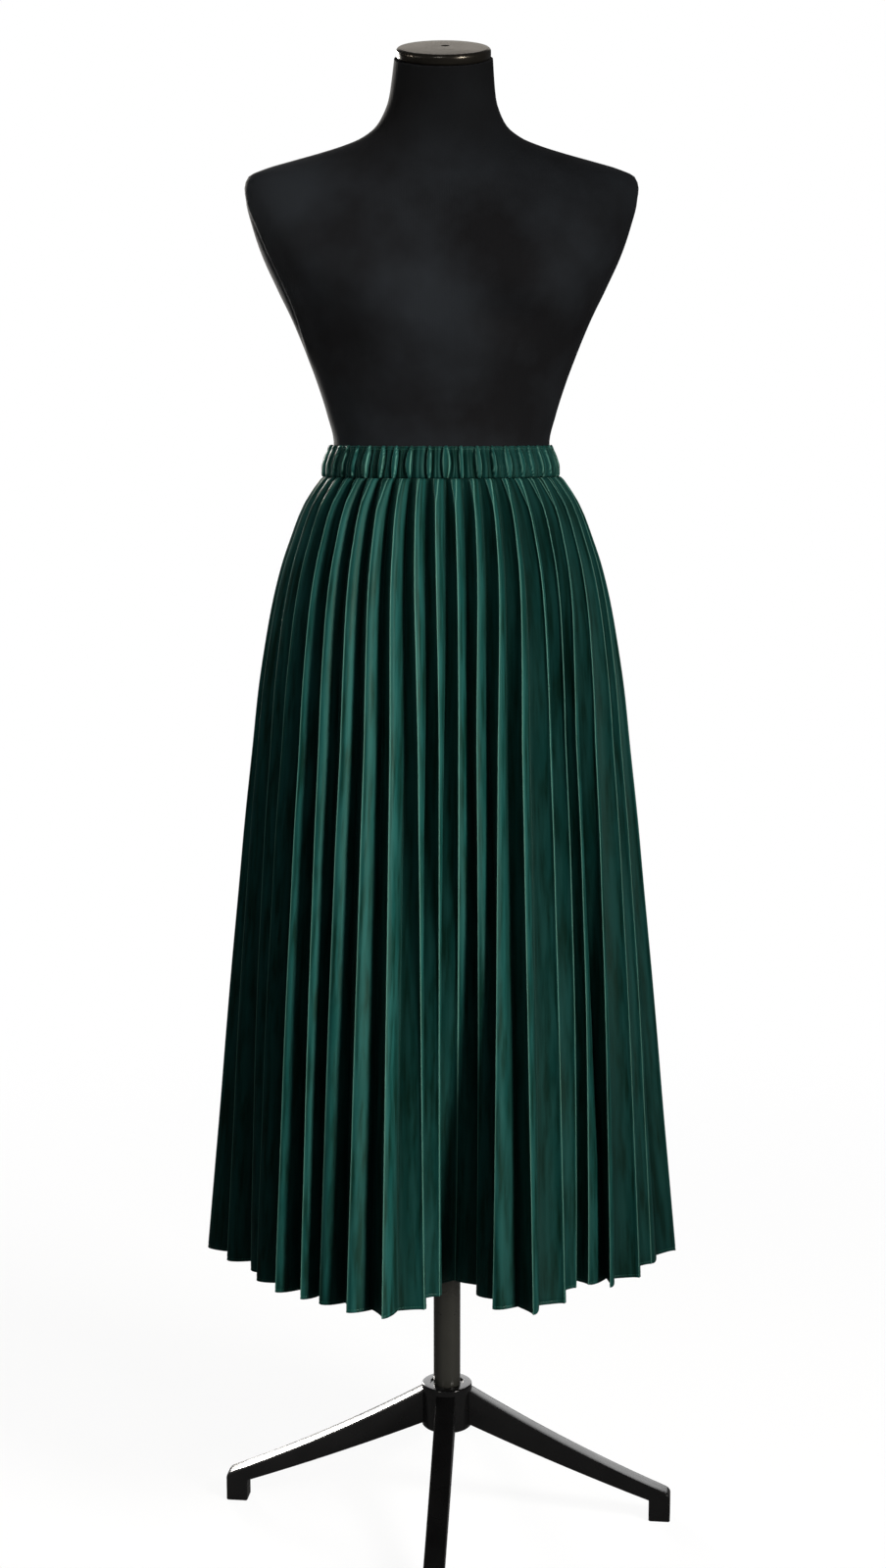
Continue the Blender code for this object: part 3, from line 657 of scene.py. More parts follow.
cap_place = Matrix.Translation((NECK_SHIFT, 0.0, NECK_TOP_HEIGHT)) @ Matrix.Rotation(
    math.radians(NECK_TILT), 4, "X")
cap = stack("neck_disc", turned([
    (CAP_RADIUS - CAP_UNDER_EDGE, 0.0), (CAP_RADIUS - 0.3 * CAP_UNDER_EDGE, 0.3 * CAP_UNDER_EDGE),
    (CAP_RADIUS, CAP_UNDER_EDGE), *rounded(CAP_RADIUS, CAP_THICKNESS, CAP_EDGE_RADIUS, 10),
], CAP_AROUND, cap_place), gunmetal)
drill = stack("hole_drill", turned([
    (CAP_HOLE_RADIUS, CAP_THICKNESS - CAP_HOLE_DEPTH),
    (CAP_HOLE_RADIUS, CAP_THICKNESS - CAP_HOLE_LIP),
    (CAP_HOLE_RADIUS + CAP_HOLE_FLARE, CAP_THICKNESS + CAP_DRILL_OVER),
], CAP_HOLE_AROUND, cap_place @ Matrix.Translation(CAP_HOLE_OFFSET)), gunmetal)
cut = cap.modifiers.new("hole", "BOOLEAN")
cut.operation = "DIFFERENCE"
cut.solver = "EXACT"
cut.object = drill
settle(cap)
cap.data.set_sharp_from_angle(angle=math.radians(SMOOTH_ANGLE))
# Painted shade in the drilled hole: a near-black matt material on the hole's faces, giving back
# almost no light, stands in for the shade inside it.
painted_hole_shade, tree, shader = start_material("painted hole shade", Roughness=0.9, Specular_IOR_Level=0.1)
place = add_node(tree, "ShaderNodeTexCoord")
grain = add_node(tree, "ShaderNodeTexNoise", {"Vector": place.outputs["Object"], "Scale": 900.0})
tone = add_node(tree, "ShaderNodeMix", {
    0: grain.outputs["Fac"], 6: linear("#020202"), 7: linear("#060606")}, data_type="RGBA")
tree.links.new(tone.outputs[2], shader.inputs["Base Color"])
cap.data.materials.append(painted_hole_shade)
hole_place = (cap_place @ Matrix.Translation(CAP_HOLE_OFFSET)).inverted()
for face in cap.data.polygons:
    spot = hole_place @ face.center
    near = math.hypot(spot.x, spot.y) < CAP_HOLE_RADIUS + HOLE_SHADE_REACH
    if near and spot.z < CAP_THICKNESS - HOLE_SHADE_BELOW:
        face.material_index = len(cap.data.materials) - 1
bpy.data.objects.remove(drill, do_unlink=True)
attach(cap, "root")
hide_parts("neck_cap")


# The skirt: a front and a back panel of satin-faced polyester, each heat-set into 22 knife-sharp
# accordion pleats that open from the waist seam to the hem, and joined at the side seams.
CLOTH_THICKNESS = 0.0005
HEM_HEIGHT = 0.3106
WAIST_SEAM_HEIGHT = 1.1650
PLEATS_PER_PANEL = 22
HIP_HEIGHT = 0.8870
WAIST_TWIST = 1.5
REACH_GROWTH = 1.6
Level = namedtuple("Level", "height half_width front back face_width")
SKIRT_LEVELS = [Level(*row) for row in (
    (HEM_HEIGHT, 0.2613, 0.2150, 0.2000, 0.0280), (0.3970, 0.2529, 0.2070, 0.1945, 0.0272),
    (0.4770, 0.2451, 0.1995, 0.1890, 0.0261), (0.5570, 0.2378, 0.1925, 0.1840, 0.0254),
    (0.6370, 0.2301, 0.1855, 0.1790, 0.0247), (0.7170, 0.2218, 0.1785, 0.1735, 0.0240),
    (0.7970, 0.2137, 0.1710, 0.1680, 0.0232), (0.8770, 0.2044, 0.1630, 0.1620, 0.0223),
    (0.9370, 0.1976, 0.1560, 0.1560, 0.0215), (0.9870, 0.1898, 0.1490, 0.1500, 0.0206),
    (1.0320, 0.1813, 0.1415, 0.1440, 0.0197), (1.0720, 0.1711, 0.1335, 0.1370, 0.0186),
    (1.1020, 0.1607, 0.1265, 0.1300, 0.0176), (1.1270, 0.1512, 0.1195, 0.1225, 0.0163),
    (1.1470, 0.1407, 0.1120, 0.1140, 0.0147),
    (WAIST_SEAM_HEIGHT - SEAM_GAP, 0.1300, 0.1045, 0.1045, 0.0128),
)]
Crease = namedtuple("Crease", "hip_turn hem_turn hem_reach")
CREASES = [Crease(*row) for row in (
    (-87.0, -89.0, 1.000), (-77.1, -76.5, 0.929), (-65.0, -65.7, 0.871),
    (-56.6, -56.6, 0.912), (-47.2, -45.5, 0.947), (-39.1, -36.8, 0.948),
    (-31.1, -30.9, 0.955), (-23.0, -22.0, 1.007), (-14.9, -13.0, 1.042),
    (-6.8, -4.3, 0.898), (-0.7, -0.6, 0.715), (5.4, 6.2, 0.505),
    (10.7, 11.4, 0.710), (16.7, 12.8, 0.912), (23.9, 20.6, 1.031),
    (33.8, 31.3, 0.951), (40.8, 42.3, 0.815), (45.3, 46.9, 0.823),
    (53.5, 48.7, 0.914), (64.0, 60.4, 0.939), (71.8, 73.1, 0.919),
    (82.0, 86.0, 1.000), (94.6, 94.0, 1.000), (103.0, 102.5, 0.955),
    (112.0, 112.0, 0.930), (120.4, 120.5, 0.960), (128.1, 128.0, 1.000),
    (136.2, 136.0, 1.030), (143.9, 143.5, 1.000), (150.5, 149.0, 0.900),
    (156.7, 154.0, 0.800), (164.4, 161.5, 0.780), (171.6, 168.0, 0.840),
    (177.8, 173.0, 0.930), (185.2, 180.0, 0.990), (193.3, 188.0, 1.020),
    (201.4, 196.0, 1.000), (208.5, 202.5, 0.920), (215.7, 209.0, 0.850),
    (223.7, 217.0, 0.870), (231.8, 225.0, 0.930), (241.1, 235.0, 0.975),
    (251.0, 246.0, 0.970), (261.6, 258.0, 0.985),
)]
# Where points lie across one flat face, as shares of it from its outer to its inner crease. The
# faces that turn to the key lamp belly out, and those that turn away sink in and carry painted
# shade.
FACE_SHARES = (0.08, 0.22, 0.40, 0.60, 0.78, 0.92)
OUTER_CREASE_RADIUS = 0.0007
INNER_CREASE_RADIUS = 0.0010
SIDE_SEAM_GAP = 0.00003
LIT_BELLY = 0.0032
HIDDEN_BELLY = -0.0018
HIDDEN_SHADE = 0.45
FACE_WAVER = 0.0009
ROW_STEP = 0.0110
PUCKER_LENGTH = 0.0290
PUCKER_DEPTH = 0.0008
FLATTENED_RADIUS = 0.0052
EVEN_ROWS_START = 0.3300
PUCKER_ROWS = 0.0300
HEM_STITCH_HEIGHT = 0.0030
HEM_TUCK = 0.0003
HEM_TUCK_REACH = 0.0008
SEAM_TUCK = 0.0016
SEAM_TUCK_REACH = 0.0045


def waist_turn(index):
    """The turn of a pleat's outer crease at the waist, where the pleats are evenly spaced."""
    pitch = 360.0 / (2 * PLEATS_PER_PANEL)
    return (index - (PLEATS_PER_PANEL - 1) / 2.0) * pitch + WAIST_TWIST


def oval_point(level, turn, reach):
    """A point of a skirt level's oval at a turn from the front, moved in or out."""
    angle = math.radians(turn)
    depth = level.front if math.cos(angle) > 0.0 else level.back
    return Vector((reach * level.half_width * math.sin(angle),
                   -reach * depth * math.cos(angle), 0.0))


def eased_turn(start, middle, end, middle_share, share):
    """A turn that runs smoothly from start through middle to end, without overshooting."""
    first = (middle - start) / middle_share
    second = (end - middle) / (1.0 - middle_share)
    at_middle = gentle_slope(first, second)
    if share < middle_share:
        low, high, slope_low, slope_high, span = start, middle, first, at_middle, middle_share
        part = share / middle_share
    else:
        low, high, slope_low, slope_high = middle, end, at_middle, second
        span = 1.0 - middle_share
        part = (share - middle_share) / span
    square = part * part
    cube = square * part
    return ((2.0 * cube - 3.0 * square + 1.0) * low + (3.0 * square - 2.0 * cube) * high
            + span * ((cube - 2.0 * square + part) * slope_low + (cube - square) * slope_high))


def pleat_line(level):
    """Outer and inner creases by turns round the skirt, starting with an outer crease."""
    length = WAIST_SEAM_HEIGHT - HEM_HEIGHT
    fall = (WAIST_SEAM_HEIGHT - level.height) / length
    hip_share = (WAIST_SEAM_HEIGHT - HIP_HEIGHT) / length
    outer = []
    for index, crease in enumerate(CREASES):
        turn = eased_turn(waist_turn(index), crease.hip_turn, crease.hem_turn, hip_share, fall)
        reach = 1.0 + (crease.hem_reach - 1.0) * fall ** REACH_GROWTH
        outer.append(oval_point(level, turn, reach))
    line = []
    for index, point in enumerate(outer):
        following = outer[(index + 1) % len(outer)]
        chord = following - point
        half = chord.length / 2.0
        depth = math.sqrt(max(level.face_width ** 2 - half ** 2, 0.0))
        inward = Vector((-chord.y, chord.x, 0.0)).normalized()
        line.append(point)
        line.append((point + following) / 2.0 + inward * depth)
    return line


def flattening(level, crease):
    """How far a crease is pressed flat by the seam above it: 0 below its reach, up to 1."""
    uneven = 0.62 + 0.75 * noise.noise(Vector((crease * 2.37, 0.4, 8.1)))
    below = WAIST_SEAM_HEIGHT - level.height
    return min(1.0, max(0.0, 1.0 - below / (PUCKER_LENGTH * (0.5 + 0.6 * uneven))) * uneven)


def face_points(start, end, face, level, from_outer):
    """Points across one pleat face, bellied and wavering a little, without its creases."""
    along = end - start
    outward = Vector((along.y, -along.x, 0.0)).normalized()
    size = level.face_width / SKIRT_LEVELS[0].face_width
    steady = noise.noise(Vector((face * 3.7, 0.0, 5.0)))
    points = []
    shares = FACE_SHARES if from_outer else [1.0 - share for share in FACE_SHARES[::-1]]
    flat = flattening(level, face if from_outer else face + 1)
    pucker = flat ** 2
    taken = FLATTENED_RADIUS * flat / along.length
    for share in shares:
        from_crease = share if from_outer else 1.0 - share
        belly = LIT_BELLY if from_outer else HIDDEN_BELLY
        belly *= (1.0 + 0.6 * steady) * math.sin(math.pi * from_crease ** 0.65)
        waver = noise.noise(Vector((face * 9.1, level.height * 7.0, from_crease * 0.9)))
        waver += 0.5 * noise.noise(Vector((face * 5.3 + 40.0, level.height * 19.0, from_crease)))
        lift = (belly + FACE_WAVER * waver * math.sin(math.pi * from_crease)) * size
        lift += PUCKER_DEPTH * pucker * (1.0 - abs(2.0 * from_crease - 1.0))
        kept = taken + (1.0 - taken) * from_crease
        points.append(start + along * (kept if from_outer else 1.0 - kept) + outward * lift)
    return points


def crease_points(point, before, after, radius, steps, flat):
    """A crease rounded to a radius, as points that lie in line where it is pressed flat."""
    back = (before - point).normalized() * radius
    forth = (after - point).normalized() * radius
    return [point + back * (1.0 - share) * ((1.0 - share) * (1.0 - flat) + flat)
            + forth * share * (share * (1.0 - flat) + flat) for share in steps]


def panel_end(seam, inside, beyond):
    """The end of a panel's middle line at a side seam, where its wall meets the other panel's."""
    half_angle = (inside - seam).angle(beyond - seam) / 2.0
    short = CLOTH_THICKNESS / 2.0 / math.tan(half_angle) + SIDE_SEAM_GAP
    return seam + (inside - seam).normalized() * short


def panel_row(level, first_pleat):
    """Points of one panel at one level from side seam to side seam, each with a mark: its crease
    value, -1 in an inner crease to 1 on an outer one, that sets painted shade below naught and a
    painted highlight above it, and how many faces along the cloth it is."""
    line = pleat_line(level)
    count = len(line)
    start = 2 * first_pleat - 1
    points = []
    marks = []
    for step in range(2 * PLEATS_PER_PANEL):
        index = (start + step) % count
        here, following = line[index], line[(index + 1) % count]
        from_outer = index % 2 == 0
        if step == 0:
            points.append(panel_end(here, following, line[(index - 1) % count]))
            marks.append((-1.0, 0.0))
        across = face_points(here, following, index, level, from_outer)
        points.extend(across)
        shares = FACE_SHARES if from_outer else FACE_SHARES[::-1]
        # Painted shade: each face is marked darker towards its inner crease, and a face turned from
        # the key lamp darker throughout by HIDDEN_SHADE.
        shade = 0.0 if from_outer else HIDDEN_SHADE
        parts = len(FACE_SHARES) + 1
        marks.extend((-shade - (1.0 - shade) * share, step + (number + 1.0) / parts)
                     for number, share in enumerate(shares))
        if step == 2 * PLEATS_PER_PANEL - 1:
            points.append(panel_end(following, here, line[(index + 2) % count]))
            marks.append((-1.0, step + 1.0))
            continue
        beyond = line[(index + 2) % count]
        if from_outer:
            # Inner creases are marked for the deepest painted shade.
            points.extend(crease_points(following, here, beyond, INNER_CREASE_RADIUS,
                                        (0.0, 0.5, 1.0), 0.0))
            marks.extend([(-1.0, step + 0.98), (-1.0, step + 1.0), (-1.0, step + 1.02)])
            continue
        flat = flattening(level, (index + 1) % count)
        radius = OUTER_CREASE_RADIUS + FLATTENED_RADIUS * flat
        points.extend(crease_points(following, here, beyond, radius,
                                    (0.0, 0.25, 0.5, 0.75, 1.0), flat))
        # Painted highlight along the outer crease; where the seam presses it flat, the highlight
        # moves out to the flattened crease's two edges.
        spread = min(1.0, 4.0 * flat)
        edge, middle = 0.15 + 0.85 * spread, 1.0 - spread
        marks.extend([(edge, step + 0.98), (0.6 * middle, step + 0.99), (middle, step + 1.0),
                      (0.6 * middle, step + 1.01), (edge, step + 1.02)])
    return points, marks


hem_rows = [HEM_HEIGHT + lift for lift in (0.0, 0.0010, 0.0022, 0.0030, 0.0038, 0.0055, 0.0090)]
even_length = WAIST_SEAM_HEIGHT - PUCKER_ROWS - EVEN_ROWS_START
row_count = round(even_length / ROW_STEP)
middle_rows = [EVEN_ROWS_START + even_length * step / row_count for step in range(row_count + 1)]
seam_rows = [WAIST_SEAM_HEIGHT - below for below in
             (0.0250, 0.0200, 0.0160, 0.0125, 0.0095, 0.0070, 0.0045, 0.0025, 0.0010)]
skirt_rows = hem_rows + middle_rows + seam_rows + [SKIRT_LEVELS[-1].height]
skirt_levels = [between(SKIRT_LEVELS, height) for height in skirt_rows]


def tucked(point, height):
    """Draws the cloth in at the sewn hem line and under the waistband's seam."""
    from_stitches = (height - HEM_HEIGHT - HEM_STITCH_HEIGHT) / HEM_TUCK_REACH
    inwards = HEM_TUCK * math.exp(-from_stitches ** 2)
    from_seam = (WAIST_SEAM_HEIGHT - height) / SEAM_TUCK_REACH
    inwards += SEAM_TUCK * max(0.0, 1.0 - from_seam) ** 2
    return point - point.normalized() * inwards + Vector((0.0, 0.0, height))


def satin(name):
    """Polyester satin, woven and heat-set: long floating threads give a soft silky sheen that runs
    with the pleats, and handling leaves it slightly brushed. The weave is drawn 0.8 mm apart,
    several times as coarse as real, and the brushing is 2 to 6 mm wide and 20 to 80 mm long. The
    folds' depths are painted darker, as painted shade, and their outer creases paler, as a painted
    highlight."""
    material, tree, shader = start_material(
        name, Roughness=0.50, Specular_IOR_Level=0.3, Specular_Tint=linear("#8cc4b8"),
        Sheen_Weight=0.08, Sheen_Roughness=0.4, Sheen_Tint=linear("#9cc8bc"))
    cloth = add_node(tree, "ShaderNodeUVMap", uv_map="cloth")
    streak_place = add_node(tree, "ShaderNodeMapping", {
        "Vector": cloth.outputs["UV"], "Scale": (170.0, 12.0, 1.0)})
    streaks = add_node(tree, "ShaderNodeTexNoise", {
        "Vector": streak_place.outputs["Vector"], "Scale": 1.0, "Detail": 3.0, "Roughness": 0.5})
    cloud_place = add_node(tree, "ShaderNodeMapping", {
        "Vector": cloth.outputs["UV"], "Scale": (110.0, 14.0, 1.0)})
    clouds = add_node(tree, "ShaderNodeTexNoise", {
        "Vector": cloud_place.outputs["Vector"], "Scale": 1.0, "Detail": 3.0})
    cloud_share = add_node(tree, "ShaderNodeMapRange", {
        "Value": clouds.outputs["Fac"], "From Min": 0.40, "From Max": 0.60})
    streak_share = add_node(tree, "ShaderNodeMapRange", {
        "Value": streaks.outputs["Fac"], "From Min": 0.42, "From Max": 0.64, "To Max": 0.75})
    base = add_node(tree, "ShaderNodeMix", {
        0: cloud_share.outputs["Result"], 6: linear("#0a2c24"), 7: linear("#134541")},
        data_type="RGBA")
    brushed = add_node(tree, "ShaderNodeMix", {
        0: streak_share.outputs["Result"], 6: base.outputs[2], 7: linear("#225753")},
        data_type="RGBA")
    # Painted shade: where the crease attribute falls below -0.35 the cloth is darkened, deepest in
    # the inner creases and on faces turned from the key lamp.
    crease = add_node(tree, "ShaderNodeAttribute", attribute_name="crease")
    depth = add_node(tree, "ShaderNodeMapRange", {
        "Value": crease.outputs["Fac"], "From Min": -0.35, "From Max": -1.0, "To Max": 0.7})
    painted_valley_shade = add_node(tree, "ShaderNodeMix", {
        0: depth.outputs["Result"], 6: brushed.outputs[2], 7: linear("#051a15")},
        data_type="RGBA")
    # Painted highlight: where the crease attribute is above naught the cloth is painted paler,
    # along the outer creases and the waistband puffs' edges.
    ridge = add_node(tree, "ShaderNodeMath", {0: crease.outputs["Fac"], 1: 0.0},
                     operation="MAXIMUM")
    painted_crease_highlight = add_node(tree, "ShaderNodeMix", {
        0: ridge.outputs["Value"], 6: painted_valley_shade.outputs[2], 7: linear("#6aa092")}, data_type="RGBA")
    gloss = add_node(tree, "ShaderNodeMapRange", {
        "Value": streaks.outputs["Fac"], "From Min": 0.3, "From Max": 0.7,
        "To Min": 0.42, "To Max": 0.58})
    weave_place = add_node(tree, "ShaderNodeMapping", {
        "Vector": cloth.outputs["UV"], "Scale": (1250.0, 1250.0, 1.0)})
    weave = add_node(tree, "ShaderNodeTexNoise", {
        "Vector": weave_place.outputs["Vector"], "Scale": 1.0, "Detail": 1.0})
    height = add_node(tree, "ShaderNodeMath", {
        0: streaks.outputs["Fac"], 1: weave.outputs["Fac"]}, operation="ADD")
    relief = add_node(tree, "ShaderNodeBump", {
        "Height": height.outputs["Value"], "Strength": 0.25, "Distance": 0.0004})
    tree.links.new(painted_crease_highlight.outputs[2], shader.inputs["Base Color"])
    tree.links.new(gloss.outputs["Result"], shader.inputs["Roughness"])
    tree.links.new(relief.outputs["Normal"], shader.inputs["Normal"])
    return material


def thin_cloth(name, rows, marks, closed, material):
    """A thin shell from rows of points, with the flat cloth's place in its UV map."""
    columns = len(rows[0])
    faces = grid_faces(len(rows), columns, closed)
    mesh = bpy.data.meshes.new(name)
    mesh.from_pydata([tuple(point) for row in rows for point in row], [], faces)
    mesh.materials.append(material)
    # The crease attribute carries the cloth's painted shade (below naught) and painted highlight
    # (above naught).
    crease = mesh.attributes.new("crease", "FLOAT", "POINT")
    crease.data.foreach_set("value", [mark[0] for row in marks for mark in row])
    flat_place = [(mark[1], mark[2]) for row in marks for mark in row]
    uv = mesh.uv_layers.new(name="cloth")
    for loop in mesh.loops:
        uv.data[loop.index].uv = flat_place[loop.vertex_index]
    mesh.shade_smooth()
    piece = bpy.data.objects.new(name, mesh)
    bpy.context.collection.objects.link(piece)
    wall = piece.modifiers.new("wall", "SOLIDIFY")
    wall.thickness = CLOTH_THICKNESS
    wall.offset = 0.0
    return settle(piece)


skirt_satin = satin("dark green polyester satin")
hem_face = SKIRT_LEVELS[0].face_width
for name, node, first_pleat in (("front_panel", "skirt_front", 0),
                                ("back_panel", "skirt_back", PLEATS_PER_PANEL)):
    rows = []
    marks = []
    for level in skirt_levels:
        points, row_marks = panel_row(level, first_pleat)
        rows.append([tucked(point, level.height) for point in points])
        # Each mark's first value is the crease attribute: painted shade below naught, a painted
        # highlight above.
        marks.append([(ridge, faces * hem_face, level.height) for ridge, faces in row_marks])
    panel = thin_cloth(name, rows, marks, False, skirt_satin)
    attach(panel, "root")
    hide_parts(node)


# The hem: the edge is turned up inside and sewn 3 mm above the fold with matching thread. Each
# flat face carries its own short run of stitches.
STITCH_LENGTH = 0.0021
THREAD_RADIUS = 0.00022
STITCHES_PER_FACE = 9

# Spun polyester thread in the cloth's colour: a little lighter than the cloth, with a soft gloss.
thread, tree, shader = start_material("green polyester thread", Roughness=0.45)
place = add_node(tree, "ShaderNodeTexCoord")
twist = add_node(tree, "ShaderNodeTexNoise", {"Vector": place.outputs["Object"], "Scale": 1800.0})
tone = add_node(tree, "ShaderNodeMix", {
    0: twist.outputs["Fac"], 6: linear("#1d5a4b"), 7: linear("#2f7766"),
}, data_type="RGBA")
tree.links.new(tone.outputs[2], shader.inputs["Base Color"])


def stitching_tree():
    """Geometry nodes that lay a fixed number of stitches along each run of edges."""
    group = bpy.data.node_groups.new("stitching", "GeometryNodeTree")
    sockets = {}
    for name, kind in (("Geometry", "NodeSocketGeometry"), ("Stitches", "NodeSocketInt"),
                       ("Stitch length", "NodeSocketFloat"), ("Thread radius", "NodeSocketFloat"),
                       ("Thread", "NodeSocketMaterial")):
        sockets[name] = group.interface.new_socket(name=name, in_out="INPUT", socket_type=kind)
    group.interface.new_socket(name="Geometry", in_out="OUTPUT", socket_type="NodeSocketGeometry")
    given = add_node(group, "NodeGroupInput").outputs
    runs = add_node(group, "GeometryNodeMeshToCurve", {"Mesh": given["Geometry"]})
    spots = add_node(group, "GeometryNodeResampleCurve", {
        "Curve": runs.outputs["Curve"], "Count": given["Stitches"]})
    tangent = add_node(group, "GeometryNodeInputTangent")
    turn = add_node(group, "FunctionNodeAlignRotationToVector", {
        "Vector": tangent.outputs["Tangent"]}, axis="Z")
    stitch = add_node(group, "GeometryNodeMeshCylinder", {
        "Vertices": 6, "Radius": given["Thread radius"], "Depth": given["Stitch length"]})
    laid = add_node(group, "GeometryNodeInstanceOnPoints", {
        "Points": spots.outputs["Curve"], "Instance": stitch.outputs["Mesh"],
        "Rotation": turn.outputs["Rotation"]})
    real = add_node(group, "GeometryNodeRealizeInstances", {
        "Geometry": laid.outputs["Instances"]})
    coloured = add_node(group, "GeometryNodeSetMaterial", {
        "Geometry": real.outputs["Geometry"], "Material": given["Thread"]})
    add_node(group, "NodeGroupOutput", {"Geometry": coloured.outputs["Geometry"]})
    return group, {name: socket.identifier for name, socket in sockets.items()}


stitching, stitching_inputs = stitching_tree()


def sew(name, runs, count, length):
    """A piece of stitching along runs of points, count stitches to a run."""
    points = []
    edges = []
    for run in runs:
        edges.extend((len(points) + step, len(points) + step + 1) for step in range(len(run) - 1))
        points.extend(tuple(point) for point in run)
    mesh = bpy.data.meshes.new(name)
    mesh.from_pydata(points, edges, [])
    piece = bpy.data.objects.new(name, mesh)
    bpy.context.collection.objects.link(piece)
    modifier = piece.modifiers.new("stitching", "NODES")
    modifier.node_group = stitching
    modifier[stitching_inputs["Stitches"]] = count
    modifier[stitching_inputs["Stitch length"]] = length
    modifier[stitching_inputs["Thread radius"]] = THREAD_RADIUS
    modifier[stitching_inputs["Thread"]] = thread
    settle(piece)
    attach(piece, "root")
    return piece


stitch_level = between(SKIRT_LEVELS, HEM_HEIGHT + HEM_STITCH_HEIGHT)
stitch_line = pleat_line(stitch_level)
for name, first_pleat in (("front_hem_stitches", 0), ("back_hem_stitches", PLEATS_PER_PANEL)):
    runs = []
    for step in range(2 * PLEATS_PER_PANEL):
        index = (2 * first_pleat - 1 + step) % len(stitch_line)
        here, following = stitch_line[index], stitch_line[(index + 1) % len(stitch_line)]
        across = face_points(here, following, index, stitch_level, index % 2 == 0)
        outward = Vector((following.y - here.y, here.x - following.x, 0.0)).normalized()
        rise = outward * (CLOTH_THICKNESS / 2.0)
        runs.append([tucked(point, stitch_level.height) + rise for point in across])
    sew(name, runs, STITCHES_PER_FACE, STITCH_LENGTH)


# The waistband: a strip of the same satin folded over wide elastic and gathered on it, so that
# it stands in uneven leaf-shaped puffs, pinched at the seam below and at the top edge.
BandLevel = namedtuple("BandLevel", "height half_width gather_share")
BAND_TOP_HEIGHT = 1.1985
BAND_SHIFT = -0.0012
BAND_CLEARANCE = 0.0005
BAND_LEVELS = [
    BandLevel(WAIST_SEAM_HEIGHT, 0.1262, 0.75), BandLevel(1.1680, 0.1272, 0.95),
    BandLevel(1.1750, 0.1270, 1.0), BandLevel(1.1850, 0.1244, 1.0),
    BandLevel(1.1925, 0.1212, 0.95), BandLevel(BAND_TOP_HEIGHT, 0.1183, 0.6),
]
GATHERS = 88
PUFF_DEPTH = 0.0070
PUFF_DIP = 0.0012
HOLLOW_SINK = 0.0036
HOLLOW_DEPTH = 0.0030
GATHER_PINCH = 0.26
PUFF_NARROWING = 0.07
COLUMNS_PER_GATHER = 12
BAND_ROWS = 20
BAND_FOLD = 0.0012
BAND_FOLD_RISE = 0.0010
BAND_LEAST = 0.0022
GATHER_DROOP = 0.35
CLOTH_PER_GATHER = 0.0125
INSIDE_MARK = 2.4
BAND_STITCH_DEPTH = 0.0032
BAND_STITCH_LENGTH = 0.0016
THREAD_LIFT = 0.0002


def jitter(index, channel):
    """A fixed uneven value from -1 to 1 for a gather."""
    return noise.noise(Vector((index * 1.618 + 0.37, channel * 11.3 + 0.71, 2.5))) * 1.8


def groove_turn(index, rise):
    """Where a groove between two gathers lies round the band, in gathers, at a share of height."""
    wrapped = index % GATHERS
    sign = 1.0 if wrapped % 2 == 0 else -1.0
    pinch = sign * GATHER_PINCH * (2.0 * rise - 1.0) ** 2
    bend = 0.20 * jitter(wrapped, 1) * math.sin(math.pi * rise)
    return index + 0.15 * jitter(wrapped, 0) + PUFF_NARROWING * sign + pinch + bend


def band_relief(turn, rise):
    """How far below its crest the gathered cloth lies, at a turn counted in gathers, and its crease
    mark there: a painted highlight along each puff's edges, and painted shade in the grooves and
    over the hollows between the puffs."""
    index = math.floor(turn) - 1
    while groove_turn(index + 1, rise) <= turn:
        index += 1
    low, high = groove_turn(index, rise), groove_turn(index + 1, rise)
    share = min(max((turn - low) / (high - low), 0.0), 1.0)
    wrapped = index % GATHERS
    from_middle = abs(2.0 * share - 1.0)
    uneven = 0.0005 * (1.0 + jitter(wrapped, 2))
    if wrapped % 2 == 0:
        # Painted highlight near each puff's edges, painted shade in the grooves beside them.
        edge = 1.2 * math.exp(-((from_middle - 0.62) / 0.10) ** 2) - from_middle ** 5
        sunk = PUFF_DEPTH * from_middle ** 4 + PUFF_DIP * (1.0 - from_middle ** 2) ** 2
        return sunk + uneven, 0.8 * edge
    ripple = 0.0006 * math.cos(3.0 * math.pi * from_middle) * (1.0 - from_middle)
    # Painted shade over the hollows between the puffs.
    return (HOLLOW_SINK + HOLLOW_DEPTH * from_middle ** 3 + ripple + uneven,
            -0.78 - 0.22 * from_middle ** 2)


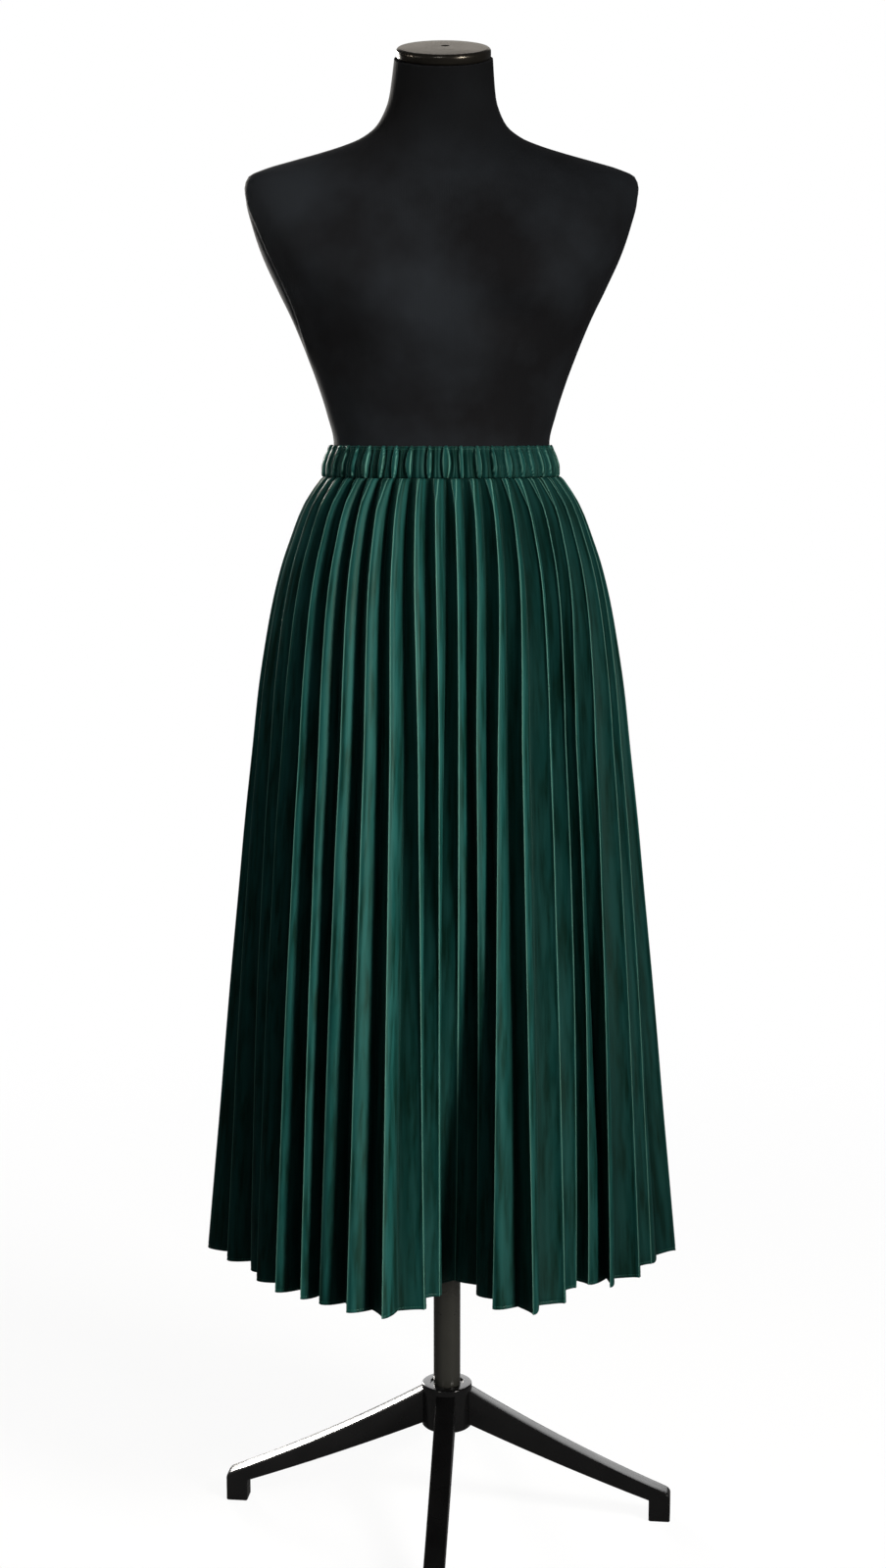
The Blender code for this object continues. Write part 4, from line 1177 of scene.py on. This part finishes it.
band_rows = []
band_marks = []
band_columns = GATHERS * COLUMNS_PER_GATHER
for row in range(BAND_ROWS + 1):
    rise = row / BAND_ROWS
    height = WAIST_SEAM_HEIGHT + (BAND_TOP_HEIGHT - BAND_FOLD - WAIST_SEAM_HEIGHT) * rise
    level = between(BAND_LEVELS, height)
    section = between(FORM_SECTIONS, height)
    growth = level.half_width - section.half_width - CLOTH_THICKNESS / 2.0 + abs(BAND_SHIFT)
    ring = []
    ring_marks = []
    for column in range(band_columns):
        turn = column / COLUMNS_PER_GATHER
        dip, band_light_and_shade_mark = band_relief(turn, rise)
        dip *= level.gather_share
        angle = 2.0 * math.pi * column / band_columns
        point = section_point(section, angle, max(growth - dip, BAND_LEAST))
        point.x += BAND_SHIFT
        point.z -= GATHER_DROOP * dip * rise ** 3
        ring.append(point)
        ring_marks.append((band_light_and_shade_mark, column * CLOTH_PER_GATHER / COLUMNS_PER_GATHER, height))
    band_rows.append(ring)
    band_marks.append(ring_marks)
top_section = between(FORM_SECTIONS, BAND_TOP_HEIGHT)
for share, drop in ((0.80, 0.0002), (0.45, 0.0), (0.15, 0.0006)):
    ring = []
    for column, edge in enumerate(band_rows[BAND_ROWS]):
        angle = 2.0 * math.pi * column / band_columns
        inside = section_point(top_section, angle, BAND_CLEARANCE + CLOTH_THICKNESS / 2.0)
        point = inside.lerp(edge, share)
        point.z = edge.z + BAND_FOLD_RISE - drop
        ring.append(point)
    band_rows.append(ring)
    band_marks.append([(0.0, mark[1], mark[2] + 0.004) for mark in band_marks[BAND_ROWS]])
for height in (BAND_TOP_HEIGHT - 0.0025, 1.1900, 1.1820, 1.1740, WAIST_SEAM_HEIGHT):
    section = between(FORM_SECTIONS, height)
    band_rows.append([
        section_point(section, 2.0 * math.pi * column / band_columns,
                      BAND_CLEARANCE + CLOTH_THICKNESS / 2.0)
        for column in range(band_columns)])
    band_marks.append([(0.0, mark[1], INSIDE_MARK - height) for mark in band_marks[0]])

band = thin_cloth("gathered_waistband", band_rows, band_marks, True, skirt_satin)
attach(band, "root")
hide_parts("waistband")

# The seam that closes the folded top edge: short stitches 2 mm below it, all round.
top_row = round(BAND_ROWS * (BAND_TOP_HEIGHT - BAND_STITCH_DEPTH - WAIST_SEAM_HEIGHT)
                / (BAND_TOP_HEIGHT - BAND_FOLD - WAIST_SEAM_HEIGHT))
top_lift = CLOTH_THICKNESS / 2.0 + THREAD_LIFT
top_run = [point + Vector((point.x, point.y, 0.0)).normalized() * top_lift
           for point in band_rows[top_row]]
band_stitches = sew("waistband_stitches", [top_run + top_run[:1]], 4 * GATHERS,
                    BAND_STITCH_LENGTH)
